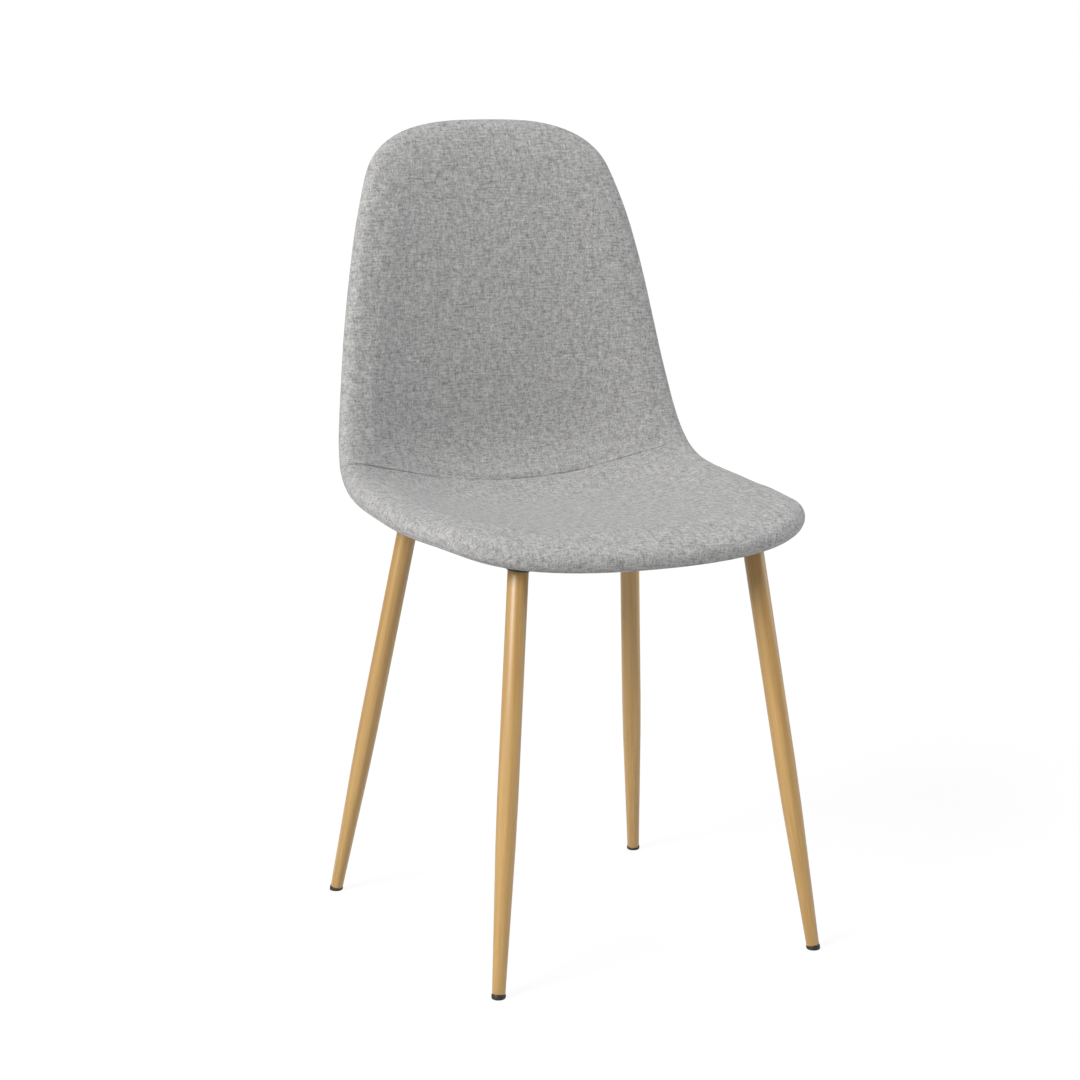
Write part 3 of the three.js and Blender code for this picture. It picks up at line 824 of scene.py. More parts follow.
# %% [markdown]
# ### Woven cloth
#
# The cover is a melange: light and dark fibres are spun into the same yarn, so each thread
# changes tone every few millimetres. Threads pass over and under each other, so which of
# the two shows changes from cell to cell. Two noises, one drawn out along each way of the
# cloth, make the threads, and a checker chooses between them. Longer, sparser noises are the
# thick and thin places in the yarn, and wider ones give flecks, flocks and soft clouds.

# %% Weave group
patches = (
    ((0.0280, 0.0280, 0.0280), 3.0, 0.55, 0.015),
    ((0.0050, 0.0120, 0.0050), 3.0, 0.60, 0.095),
    ((0.0030, 0.0030, 0.0030), 1.0, 0.50, 0.055),
)
warp_streak_share = 0.45
slub_width_share = 1.25
slub_length_share = 2.4
slub_contrast = 0.11
thick_range = (0.60, 0.74)
thin_range = (0.26, 0.40)
blur_share = 0.45
tone_range = (0.205, 0.795)
yarn_size = 0.006
warm_yarn = (1.0, 0.985, 0.965, 1.0)
cool_yarn = (0.975, 0.988, 1.0, 1.0)
fuzz_share = 0.45

weave, given, results = new_group(
    "weave", {"Vector": None, "Thread": 0.0012, "Streak": 0.007, **dark_and_light},
    ("Color", "Height"),
)
place, thread, streak = given["Vector"], given["Thread"], given["Streak"]
warp_streak = weave.maths("MULTIPLY", streak, warp_streak_share)
slub_width = weave.maths("MULTIPLY", thread, slub_width_share)
slub_length = weave.maths("MULTIPLY", streak, slub_length_share)
weft = weave.noise(place, weave.three(streak, thread, thread), 2.0, 0.6, "2D")
warp = weave.noise(place, weave.three(thread, warp_streak, thread), 2.0, 0.6, "2D")
cells = weave.scaled(place, weave.three(thread, thread, thread))
checker = weave.add(
    "ShaderNodeTexChecker", {"Vector": cells, "Scale": 1.0, 1: (1, 1, 1, 1), 2: (0, 0, 0, 1)}
)
over = weave.mix_values(checker.outputs["Fac"], warp, weft)
both_ways = weave.maths("MULTIPLY", weave.maths("ADD", weft, warp), 0.5)
tone = weave.mix_values(blur_share, over, both_ways)
for sizes, detail, roughness, contrast in patches:
    patch = weave.noise(place, sizes, detail, roughness, "2D")
    tone = weave.maths("ADD", tone, weave.spread(patch, 0.3, 0.7, -contrast, contrast))
for sizes, contrast in (
    (weave.three(slub_length, slub_width, thread), 0.80 * slub_contrast),
    (weave.three(slub_width, slub_length, thread), 0.25 * slub_contrast),
):
    slub = weave.noise(place, sizes, 1.0, 0.5, "2D")
    thick = weave.spread(slub, *thick_range, 0.0, contrast)
    thin = weave.spread(slub, *thin_range, contrast, 0.0)
    tone = weave.maths("SUBTRACT", weave.maths("ADD", tone, thick), thin)
colour = weave.mix_colours(weave.spread(tone, *tone_range), given["Dark"], given["Light"])
yarn = weave.spread(weave.noise(place, yarn_size, 2.0, 0.5, "2D"), 0.35, 0.65)
tint = weave.mix_colours(yarn, warm_yarn, cool_yarn)
weave.link(weave.mix_colours(1.0, colour, tint, "MULTIPLY"), results["Color"])
parts = weave.add("ShaderNodeSeparateXYZ", {0: cells}).outputs
wave_x, wave_y = (
    weave.maths("SINE", weave.maths("MULTIPLY", parts[axis], math.pi), 0.0) for axis in (0, 1)
)
crossing = weave.maths("ABSOLUTE", weave.maths("MULTIPLY", wave_x, wave_y), 0.0)
weave.link(weave.mix_values(fuzz_share, crossing, tone), results["Height"])
print("weave group:", len(weave.tree.nodes), "nodes")

# %% [markdown]
# ### Wood grain
#
# The legs are steel, wrapped in a printed film of pale beech. Its grain runs along the leg:
# broad bands of tone, fine fibres, and short dark pores. All three are noises drawn out a
# hundredfold along the third axis of the coordinates that the group is given. The same group,
# turned and with other colours, is the face of the plywood board inside the shell.

# %% Grain group
band_size = (0.0060, 0.0060, 0.240)
fibre_size = (0.0011, 0.0011, 0.060)
pore_size = (0.0007, 0.0007, 0.011)
fibre_share = 0.38
pore_depth = 0.45

grain, given, results = new_group(
    "grain", {"Vector": None, **dark_and_light, "Pore": linear(90, 70, 50)}, ("Color", "Height")
)
bands = grain.noise(given["Vector"], band_size, 3.0, 0.55)
fibres = grain.noise(given["Vector"], fibre_size, 3.0, 0.6)
pores = grain.noise(given["Vector"], pore_size, 1.0, 0.4)
band_tone, fibre_tone = grain.spread(bands, 0.32, 0.68), grain.spread(fibres, 0.25, 0.75)
tone = grain.mix_values(fibre_share, band_tone, fibre_tone)
colour = grain.mix_colours(tone, given["Dark"], given["Light"])
pore_mask = grain.spread(pores, 0.68, 0.80, 0.0, pore_depth)
grain.link(grain.mix_colours(pore_mask, colour, given["Pore"]), results["Color"])
height = grain.maths("SUBTRACT", grain.maths("MULTIPLY", fibres, 0.5), pore_mask)
grain.link(height, results["Height"])
print("grain group:", len(grain.tree.nodes), "nodes")

# %% [markdown]
# ### The materials
#
# Cloth scatters light at its fibre ends, which the shader's sheen gives. The film on the
# legs has a satin coat. The hidden pieces have their own finishes too: plywood, tape, zinc
# and powder-coated steel.


# %% Cloth materials
def on_cloth(tree):
    """The place in the cloth as it was cut flat, in metres."""
    return tree.add("ShaderNodeUVMap", uv_map="cloth").outputs["UV"]


def cloth_material(name, place_of, thread, streak, dark, light, relief):
    values = {"Thread": thread, "Streak": streak, "Dark": dark, "Light": light}
    return patterned(name, weave, place_of, values, relief, Roughness=0.93,
                     Specular_IOR_Level=0.2, Sheen_Weight=0.05, Sheen_Roughness=0.55)


cover_cloth = cloth_material(
    "cover_cloth", on_cloth, 0.0017, 0.0090, linear(119, 119, 119), linear(191, 191, 191), 0.00045
)
tape_cloth = cloth_material(
    "tape_cloth", on_object, 0.0008, 0.004, linear(178, 170, 150), linear(226, 220, 204), 0.0002
)

# %% Wood materials
grain_relief = 0.00012


def along_leg(tree):
    """The place in the leg as it stood when it was modelled, kept in an attribute."""
    return tree.add("ShaderNodeAttribute", attribute_name="grain").outputs["Vector"]


def across_board(tree):
    """The board's face grain runs from side to side, so its coordinates are turned."""
    turn = {"Vector": on_object(tree), "Rotation": (0, math.pi / 2, 0)}
    return tree.add("ShaderNodeMapping", turn).outputs["Vector"]


def grain_material(name, place_of, dark, light, pore, **uniform):
    values = {"Dark": dark, "Light": light, "Pore": pore}
    return patterned(name, grain, place_of, values, grain_relief, 0.6, **uniform)


leg_film = grain_material(
    "leg_film", along_leg, linear(153, 116, 57), linear(190, 152, 89), linear(118, 85, 41),
    Roughness=0.42, Specular_IOR_Level=0.5, Coat_Weight=0.80, Coat_Roughness=0.40,
)
plywood = grain_material(
    "plywood", across_board, linear(190, 152, 100), linear(222, 192, 146), linear(120, 88, 52),
    Roughness=0.7,
)

# %% [markdown]
# Plain plastic, paint and metal still have a surface: moulded plastic is faintly pitted, powder
# coat has the skin of an orange, zinc is cloudy, and the dust liner is a felt of fibres
# pressed together at small points. One group makes the speckle for all of them.

# %% Speckle group
wide_speckle = 0.02

speckle, given, results = new_group(
    "speckle", {"Vector": None, "Size": 0.001, **dark_and_light, "Smooth": 0.3, "Rough": 0.5},
    ("Color", "Roughness", "Height"),
)
size = given["Size"]
fine = speckle.noise(given["Vector"], speckle.three(size, size, size), 2.0, 0.5)
wide = speckle.noise(given["Vector"], wide_speckle, 2.0, 0.5)
tone = speckle.mix_values(0.5, speckle.spread(fine, 0.3, 0.7), speckle.spread(wide, 0.3, 0.7))
speckle.link(speckle.mix_colours(tone, given["Dark"], given["Light"]), results["Color"])
speckle.link(speckle.mix_values(tone, given["Smooth"], given["Rough"]), results["Roughness"])
speckle.link(fine, results["Height"])


def speckled_material(name, size, dark, light, smoothest, roughest, relief, **uniform):
    values = {"Size": size, "Dark": dark, "Light": light, "Smooth": smoothest, "Rough": roughest}
    return patterned(name, speckle, on_object, values, relief, **uniform)


glide_plastic = speckled_material(
    "glide_plastic", 0.0006, linear(30, 25, 21), linear(48, 40, 34), 0.42, 0.55, 0.00004
)
black_coat = speckled_material(
    "black_coat", 0.0009, linear(25, 23, 21), linear(37, 35, 33), 0.40, 0.52, 0.00006
)
zinc_plate = speckled_material(
    "zinc_plate", 0.0015, linear(168, 170, 172), linear(206, 208, 208), 0.22, 0.42, 0.00002,
    Metallic=1.0,
)
liner_felt = speckled_material(
    "liner_felt", 0.0011, linear(22, 22, 23), linear(44, 44, 45), 0.85, 0.98, 0.00025,
    Sheen_Weight=0.15,
)
print(len(bpy.data.materials), "materials")

# %% [markdown]
# ### The floor
#
# The floor is a plain pale sheet that runs far out, so that no edge of it shows, and the lamps
# light it as brightly as the wall. In a studio, light from all around washes the shadow
# out. The camera alone sees the floor mixed with white, which does the same here without
# throwing extra light up at the chair.

# %% Floor
floor_size = 60.0
mottle_size = 0.7
wash_share = 0.86
wash_strength = 1.05

floor_paint, tree, shader = new_material("floor_paint", Roughness=0.9)
mottle = tree.noise(on_object(tree), mottle_size, 2.0, 0.5)
floor_colour = tree.mix_colours(mottle, linear(212, 212, 212), linear(218, 218, 218))
tree.link(floor_colour, shader.inputs["Base Color"])
camera_sees = tree.add("ShaderNodeLightPath").outputs["Is Camera Ray"]
washed = tree.add("ShaderNodeMixShader", {
    0: tree.maths("MULTIPLY", camera_sees, wash_share),
    1: shader.outputs[0],
    2: tree.add("ShaderNodeEmission", {"Strength": wash_strength}).outputs[0],
})
tree.link(washed.outputs[0], tree.tree.nodes["Material Output"].inputs["Surface"])

deselect_all()
bpy.ops.mesh.primitive_plane_add(size=floor_size)
floor = added("floor")
floor.data.materials.append(floor_paint)
print("a floor of", floor_size, "m")

# %% [markdown]
# ## The seat and back covers
#
# The two covers are sewn together along the crease, and the seam is pulled down to the board by
# a tape, so the foam swells up on both sides and closes over it. They are made as one cloth
# with a fold in it, so that they meet exactly, and parted along the crease afterwards. The
# fold has the profile of two round shoulders that touch. The foam is thicker in the bend, short
# puckers run out of the seam, and wide low waves leave no stretch of foam quite even.

# %% Fold and roll of the front cloth
fine_steps = (0.0006, 0.0010, 0.0015, 0.0022, 0.0032, 0.0045)
fold_depth = 0.0030
fold_reach = 0.0052
fill_height = 0.0045
fill_reach = 0.095
fill_edge = 0.135
fill_fade = 0.060
uneven_depth = 0.0005
ripple_waves = ((1.0, 1.0, 1.0), (0.6, 1.73, 2.1), (0.4, 3.11, 3.7))

pucker_width = 0.0034
pucker_power = 1.5
back_pucker_length = 0.6
back_pucker_depth = 0.7
back_pucker_shift = 0.009
pucker_places = (
    (-0.172, 0.5, 0.026, 0.0006), (-0.118, -0.7, 0.030, 0.0005),
    (-0.072, 0.9, 0.020, 0.0005), (-0.028, -0.9, 0.024, 0.0007),
    (0.021, 0.6, 0.018, 0.0004), (0.066, -0.8, 0.026, 0.0005),
    (0.112, 0.9, 0.022, 0.0005), (0.158, -0.5, 0.030, 0.0006),
)

seam_angle = -48.0
front_seam_gap = 4.7
rear_seam_gap = 4.9
tuck_depth = 0.0024
tuck_steps = ((3.0, 0.2), (4.5, 1.0))


def ripple(place, wavelength, seed):
    """A quiet, irregular wave between 0 and 1 along a line."""
    turns = place / wavelength
    wave = 0.0 * turns
    for height, pace, shift in ripple_waves:
        wave = wave + height * np.sin(2.0 * np.pi * pace * turns + shift * seed)
    return 0.5 + 0.25 * wave


def valley(distance, reach):
    """A smooth valley, 1 deep at its middle."""
    return np.exp(-((distance / reach) ** 2))


seam_pull = smooth_curve(
    [-0.22, -0.18, -0.14, -0.105, -0.085, -0.04, 0.0, 0.03, 0.07, 0.11, 0.135, 0.16, 0.19, 0.22],
    [0.50, 0.90, 0.75, 0.70, 0.25, 0.55, 0.90, 0.65, 1.0, 0.40, 0.70, 0.40, 0.20, 0.15],
)


def crease_fold(station, across):
    """The sewn crease: two shoulders that close over the seam, tighter in some places."""
    away = within(np.abs(crease_distance(station, across)) / fold_reach)
    return fold_depth * seam_pull(across) * (1.0 - np.sqrt(1.0 - (1.0 - away) ** 2))


def crease_fill(station, across):
    """The foam is thicker in the bend, where the seat's and the back's foams meet."""
    away = within(np.abs(crease_distance(station, across)) / fill_reach)
    inside = 1.0 - ease((np.abs(across) - fill_edge) / fill_fade)
    return fill_height * inside * (1.0 - away) ** 2


def puckers(station, across):
    """Short furrows that run from the sewn crease into the seat and the back."""
    furrows = 0.0 * station
    ahead = crease_distance(station, across)
    for place, lean, reach, depth in pucker_places:
        for away, length, deepest, shift in (
            (-ahead, reach, depth, 0.0),
            (ahead, back_pucker_length * reach, back_pucker_depth * depth, back_pucker_shift),
        ):
            on_side = ease(away / fold_reach) * (1.0 - within(away / length)) ** pucker_power
            line = across - place - shift - lean * ahead
            furrows = furrows + deepest * on_side * valley(line, pucker_width)
    return furrows


def unevenness(station, across):
    """Foam is never quite even: wide, low waves."""
    waves = ripple(station + 0.4 * across, 0.110, 0.7) + ripple(across - 0.3 * station, 0.090, 2.9)
    return uneven_depth * (waves - 1.0)


def cover_folds(station, across):
    """All that the front covers are drawn in by."""
    return (
        crease_fold(station, across) - crease_fill(station, across)
        + puckers(station, across) + unevenness(station, across)
    )


def no_fold(station, across):
    return 0.0 * station


def roll_steps(start, end, count):
    """Angles and radii round the roll, ending in a tuck where the seam draws the cloth in."""
    steps = [(start + (end - start) * step / count, cover_radius) for step in range(1, count + 1)]
    onwards = math.copysign(1.0, end - start)
    return steps + [
        (end + degrees * onwards, cover_radius - share * tuck_depth)
        for degrees, share in tuck_steps
    ]


front_cell = 0.0060
front_face_rings = 9
front_walks = row_walks(front_cell, fine_steps)
front_cloth, rows_of, rings_of = formed_cloth(
    "front_cloth", front_cell, front_walks, front_face_rings,
    roll_steps(90.0, seam_angle + front_seam_gap, 10), crowned_height, cover_folds, 1,
)
print("front cloth:", len(front_cloth.data.polygons), "faces")

# %% [markdown]
# A cover is never as smooth as a formula. The foam presses it outwards, and it is held along
# the crease and where it turns over the edge. A short cloth simulation with pressure from
# inside and a little slack in the cloth gives it its own small swells and creases. Left alone,
# the pressure would blow it up by far more, so each point keeps its way and moves no further
# than the cap, and the chair keeps its size.

# %% Letting the cloth settle
settle_frames = 20
settle_cap = 0.0022
cloth_settings = {
    "quality": 6,
    "mass": 0.3,
    "tension_stiffness": 15.0,
    "compression_stiffness": 15.0,
    "shear_stiffness": 6.0,
    "bending_stiffness": 0.4,
    "shrink_min": -0.006,
    "use_pressure": True,
    "uniform_pressure_force": 4.0,
}


def settle(cloth, held):
    """Simulates the cloth with some of its vertices held, and caps how far the rest moves."""
    before = points_of(cloth)
    pins = cloth.vertex_groups.new(name="held")
    for index in np.flatnonzero(held > 0.0):
        pins.add([int(index)], float(held[index]), "REPLACE")
    activate(cloth)
    bpy.ops.object.modifier_add(type="CLOTH")
    modifier = cloth.modifiers[-1]
    modifier.settings.vertex_group_mass = pins.name
    for name, value in cloth_settings.items():
        setattr(modifier.settings, name, value)
    modifier.settings.effector_weights.gravity = 0.0
    modifier.collision_settings.use_collision = False
    modifier.point_cache.frame_end = settle_frames
    for frame_number in range(1, settle_frames + 1):
        bpy.context.scene.frame_set(frame_number)
    bpy.ops.object.modifier_apply(modifier=modifier.name)
    bpy.context.scene.frame_set(1)
    cloth.vertex_groups.clear()
    moved = points_of(cloth) - before
    length = np.linalg.norm(moved, axis=1, keepdims=True)
    move_points(cloth, before + moved * np.minimum(1.0, settle_cap / np.maximum(length, 1e-9)))
    capped = np.minimum(length, settle_cap)
    print("settled by", round(float(capped.mean()) * 1000.0, 2), "mm on average, and by",
          round(float(capped.max()) * 1000.0, 2), "at most")


crease_row = int(np.argmin(np.abs(front_walks - crease_walk)))
crease_rows_held = 4.0
face_rings_held = 2.0
held_by_crease = 1.5 - np.abs(rows_of - crease_row) / crease_rows_held
held_by_roll = 1.0 + (rings_of - front_face_rings) / face_rings_held
settle(front_cloth, within(np.maximum(held_by_crease, held_by_roll)))

# %% [markdown]
# Where the cover has a little slack, soft folds lie across the seat in front of the crease: two
# on the sitter's left and one on the right. The pressure of the simulation would flatten them,
# so they are pressed into the settled cloth, along its own normals, where its flat map says.

# %% Slack folds
slack_places = (
    (0.295, 0.13, 0.0, 0.06, 0.0110, 0.0045, (0.080, 0.185, 0.05)),
    (0.318, 0.15, 0.15, 0.0, 0.0065, 0.0030, (0.115, 0.180, 0.03)),
    (0.331, -0.16, 0.12, 0.0, 0.0070, 0.0025, (-0.185, -0.12, 0.04)),
)


def between(place, low, high, soft):
    """1 between two places and 0 outside them, with soft ends."""
    return ease((place - low) / soft + 0.5) * ease((high - place) / soft + 0.5)


def slack_folds(station, across):
    """The depth of the folds, each a valley along a leaning or a bowed line."""
    depth = 0.0 * station
    for start, middle, lean, bow, reach, deepest, ends in slack_places:
        aside = across - middle
        line = station - start - lean * aside - bow * aside**2
        depth = depth + deepest * valley(line, reach) * between(across, *ends)
    return depth


def press_in(cloth, depth):
    """Presses folds into a cloth by its own normals, where its flat map says they lie."""
    corner_of = np.zeros(len(cloth.data.loops), dtype=np.int32)
    cloth.data.loops.foreach_get("vertex_index", corner_of)
    flat = np.zeros(2 * len(corner_of), dtype=np.float32)
    cloth.data.uv_layers["cloth"].data.foreach_get("uv", flat)
    across, station = np.zeros((2, len(cloth.data.vertices)))
    across[corner_of], station[corner_of] = flat.reshape(-1, 2).T
    normals = np.array([vertex.normal for vertex in cloth.data.vertices])
    pressed = depth(station, across)
    move_points(cloth, points_of(cloth) - normals * pressed[:, None])
    print("folds up to", round(float(pressed.max()) * 1000.0, 2), "mm deep")


press_in(front_cloth, slack_folds)

# %% Parting the covers along the crease
cloth_thickness = 0.0012


def thicken(cloth, thickness, offset):
    """Rounds off a cloth's mesh and gives it a thickness, below its surface or above it."""
    apply_modifier(cloth, "SUBSURF", levels=1, render_levels=1)
    apply_modifier(cloth, "SOLIDIFY", thickness=thickness, offset=offset)
    smooth(cloth, 60.0)


seat_side = rows_of < crease_row + 0.01
part_of_seat = [
    all(seat_side[index] for index in polygon.vertices)
    for polygon in front_cloth.data.polygons
]
pick(front_cloth, "FACE", lambda face: part_of_seat[face.index])
bpy.ops.mesh.separate(type="SELECTED")
bpy.ops.object.mode_set(mode="OBJECT")
seat_cover = next(piece for piece in bpy.context.selected_objects if piece is not front_cloth)
seat_cover.name = "seat_upholstery"
back_cover = front_cloth
back_cover.name = "back_upholstery"
thicken(seat_cover, cloth_thickness, -1.0)
thicken(back_cover, cloth_thickness, -1.0)
finish_piece(seat_cover, cover_cloth, "fabric", "seat_cover", "seat_foam")
finish_piece(back_cover, cover_cloth, "fabric", "back_cover", "back_foam")

# %% [markdown]
# ## The rear cover
#
# The outer back and the underside are one more cloth over a thin wadding. It meets the front
# covers low on the outside of the roll, where the photograph's view doesn't reach, in a
# plain closed seam: both edges turn in, so the seam is a fine valley all round.

# %% Rear cover
rear_cell = 0.0080
rear_face_rings = 7
rear_cover, _, _ = formed_cloth(
    "rear_upholstery", rear_cell, row_walks(rear_cell, ()), rear_face_rings,
    roll_steps(-90.0, seam_angle - rear_seam_gap, 3), round_height, no_fold, -1,
)
thicken(rear_cover, cloth_thickness, -1.0)
finish_piece(rear_cover, cover_cloth, "fabric", "rear_cover", "rear_wadding")

# %% [markdown]
# ## Where the legs stand
#
# The legs, plates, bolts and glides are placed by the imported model. A packed tube is made of
# rings of corners, so the middles of its two lowest rings give its axis. A plate or a washer is
# a flat prism, so the direction in which its corners spread least is its normal.

# %% Measuring the legs and plates
ring_points = 40


def mesh_points(name):
    """The separate corners of a node's mesh, the lowest first."""
    points = {
        tuple(round(value, 6) for value in vertex.co)
        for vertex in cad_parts[name].data.vertices
    }
    return np.array(sorted(points, key=lambda point: point[2]))


def flat_place(name):
    """Middle, upward normal and thickness of a flat node."""
    points = mesh_points(name)
    middle = points.mean(axis=0)
    normal = np.linalg.svd(points - middle)[2][-1]
    normal = normal * np.sign(normal[2])
    heights = (points - middle) @ normal
    return Vector(middle), Vector(normal), float(heights.max() - heights.min())


def standing_on(origin, upward):
    """The matrix that stands a piece, modelled upright, at a place and along a direction."""
    return Matrix.Translation(origin) @ upward.to_track_quat("Z", "Y").to_matrix().to_4x4()


def ring_radii(ring, centre, axis):
    """The smallest and the largest distance of a ring's corners from the axis."""
    out = np.linalg.norm(np.cross(ring - np.array(centre), np.array(axis)), axis=1)
    return float(out.min()), float(out.max())


legs = {}
for corner in corners:
    rings = mesh_points(f"leg_{corner}")
    lowest, shoulder = (rings[i:i + ring_points] for i in (0, ring_points))
    tube_start, tube_shoulder = Vector(lowest.mean(axis=0)), Vector(shoulder.mean(axis=0))
    axis = (tube_shoulder - tube_start).normalized()
    on_floor = tube_start - axis * (tube_start.z / axis.z)
    plate_middle, plate_normal, plate_thickness = flat_place(f"leg_plate_{corner}")
    under_plate = plate_middle - plate_normal * plate_thickness / 2.0
    reach = (under_plate - on_floor).dot(plate_normal) / axis.dot(plate_normal)
    legs[corner] = {
        "stand": standing_on(on_floor, axis),
        "axis": axis,
        "start": (tube_start - on_floor).length,
        "shoulder": (tube_shoulder - on_floor).length,
        "reach": reach,
        "foot_radii": ring_radii(lowest, tube_start, axis),
        "radii": ring_radii(shoulder, tube_shoulder, axis),
        "top": on_floor + axis * reach,
        "plate": (plate_middle, plate_normal, plate_thickness),
    }
    print(corner, "leg:", round(reach, 4), "m long, radius", round(legs[corner]["radii"][1], 5))

# %% [markdown]
# ## Legs
#
# Each leg is a round steel tube whose last stretch is drawn down to a slim foot. It starts as an
# open cylinder for the drawn stretch, is widened at the shoulder and extruded up past the
# plate. Bevelling the shoulder gives the soft start of the taper, a bisection cuts the tube along
# the plate, and Solidify gives it a wall. Where each point lay in the upright leg is kept in
# an attribute, so the grain runs along the tube, and no two legs are cut from the same piece.

# %% Legs
round_sides = 56
shoulder_softness = 0.024
tube_spare = 0.03
rim_radius = 0.0004
edge_margin = 1e-5
grain_step = 0.37


def upright_cylinder(name, radius, depth, place, sides=round_sides, ends="NGON"):
    """A cylinder along Z with its middle at a place."""
    deselect_all()
    bpy.ops.mesh.primitive_cylinder_add(
        vertices=sides, radius=radius, depth=depth, location=place, end_fill_type=ends
    )
    return added(name)


def at_height(height):
    """A test for edges that lie at one height of an upright piece."""
    return lambda edge: all(abs(vertex.co.z - height) < edge_margin for vertex in edge.verts)


def keep_grain(piece, offset):
    """Keeps each vertex's place in the upright piece, moved along to another stretch of grain."""
    layer = piece.data.attributes.new("grain", "FLOAT_VECTOR", "POINT")
    layer.data.foreach_set("vector", (points_of(piece) + offset).astype(np.float32).ravel())


def make_leg(corner, number):
    leg = legs[corner]
    drawn = leg["shoulder"] - leg["start"]
    narrow, wide = leg["foot_radii"][1], leg["radii"][1]
    middle = (0.0, 0.0, leg["start"] + drawn / 2.0)
    piece = upright_cylinder(f"tube_{corner}", narrow, drawn, middle, ends="NOTHING")
    place_mesh(piece)
    pick(piece, "EDGE", at_height(leg["shoulder"]))
    bpy.ops.transform.resize(value=(wide / narrow, wide / narrow, 1.0))
    bpy.ops.mesh.extrude_edges_move(
        TRANSFORM_OT_translate={"value": (0.0, 0.0, leg["reach"] + tube_spare - leg["shoulder"])}
    )
    pick(piece, "EDGE", at_height(leg["shoulder"]))
    bpy.ops.mesh.bevel(offset=shoulder_softness, segments=6, affect="EDGES")
    upright = leg["stand"].inverted()
    pick(piece, "FACE")
    bpy.ops.mesh.bisect(
        plane_co=upright @ leg["top"],
        plane_no=upright.to_3x3() @ leg["plate"][1],
        clear_outer=True,
    )
    apply_modifier(piece, "SOLIDIFY", thickness=wide - leg["radii"][0], offset=-1.0)
    soften(piece, rim_radius, 50.0)
    keep_grain(piece, Vector((0.0, 0.0, number * grain_step)))
    place_mesh(piece, leg["stand"])
    smooth(piece, 50.0)
    finish_piece(piece, leg_film, "wood_grain", f"leg_{corner}")


for number, corner in enumerate(corners):
    make_leg(corner, number)

# %% [markdown]
# ## Foot glides
#
# A moulded cap closes each foot: a low bowl as wide as the tube, with a plug that is pushed up
# the bore. Because the leg leans, the cap is cut level with the floor, and the cut's edge is
# rounded as the moulding is.

# %% Foot glides
glide_radius = 0.0075
glide_plug_length = 0.014
glide_rounding = 0.0021
fit_gap = 0.0003
nearly_along = 0.9


def raise_top(inset, height):
    """Draws the picked face in by an inset and extrudes it upwards."""
    bpy.ops.mesh.inset(thickness=inset)
    bpy.ops.mesh.extrude_region_move(TRANSFORM_OT_translate={"value": (0.0, 0.0, height)})


def make_glide(corner):
    leg = legs[corner]
    plug_radius = leg["foot_radii"][0] - fit_gap
    middle = (0.0, 0.0, (leg["start"] - glide_radius) / 2.0)
    piece = upright_cylinder(
        f"glide_cap_{corner}", glide_radius, leg["start"] + glide_radius, middle
    )
    place_mesh(piece)
    pick(piece, "FACE", lambda face: face.normal.z > nearly_along)
    raise_top(glide_radius - plug_radius, glide_plug_length)
    place_mesh(piece, leg["stand"])
    pick(piece, "FACE")
    bpy.ops.mesh.bisect(
        plane_co=(0.0, 0.0, 0.0), plane_no=(0.0, 0.0, 1.0), use_fill=True, clear_inner=True
    )
    pick(piece, "EDGE", at_height(0.0))
    bpy.ops.mesh.bevel(offset=glide_rounding, segments=5, affect="EDGES")
    soften(piece, rim_radius, 60.0)
    smooth(piece, 45.0)
    finish_piece(piece, glide_plastic, "dark_plastic", f"foot_glide_{corner}")


for corner in corners:
    make_glide(corner)

# %% [markdown]
# ## Leg plates
#
# Each leg is welded to a small steel plate with two bolt holes. Its outline goes round three
# circles, the leg's and the two bolts', like a string. Three short cylinders and their convex hull
# give that outline, the holes are cut by boolean, and the edges are bevelled as a pressed
# plate's are. The weld is a ring of metal in the corner between tube and plate, with the small
# even ripples that a welding torch leaves.

# %% Leg plates and welds
plate_leg_margin = 0.0015
plate_bolt_radius = 0.008
bolt_hole_radius = 0.0035
bolt_hole_sides = 32
weld_radius = 0.0015
weld_ripples = 26
weld_ripple_share = 0.14


def cut_out(piece, cutter):
    """Takes a cutter's shape out of a piece, and removes the cutter."""
    apply_modifier(piece, "BOOLEAN", object=cutter, operation="DIFFERENCE", solver="EXACT")
    bpy.data.objects.remove(cutter)


def make_plate(corner):
    middle, normal, thickness = legs[corner]["plate"]
    stand = standing_on(middle, normal)
    into = stand.inverted()
    leg_place = into @ legs[corner]["top"]
    bolts = [into @ flat_place(f"washer_{corner}_{number}")[0] for number in (1, 2)]
    wide = legs[corner]["radii"][1] + plate_leg_margin
    circles = [(wide, leg_place)] + [(plate_bolt_radius, place) for place in bolts]
    piece = join([
        upright_cylinder("puck", radius, thickness, (place.x, place.y, 0.0))
        for radius, place in circles
    ], f"plate_{corner}")
    place_mesh(piece)
    pick(piece, "VERT")
    bpy.ops.mesh.convex_hull()
    bpy.ops.mesh.dissolve_limited(angle_limit=math.radians(0.5))
    for place in bolts:
        cut_out(piece, upright_cylinder(
            "drill", bolt_hole_radius, 3.0 * thickness, (place.x, place.y, 0.0), bolt_hole_sides
        ))
    soften(piece, rim_radius, 50.0)
    place_mesh(piece, stand)
    smooth(piece, 40.0)
    finish_piece(piece, black_coat, "black_steel", f"leg_plate_{corner}")


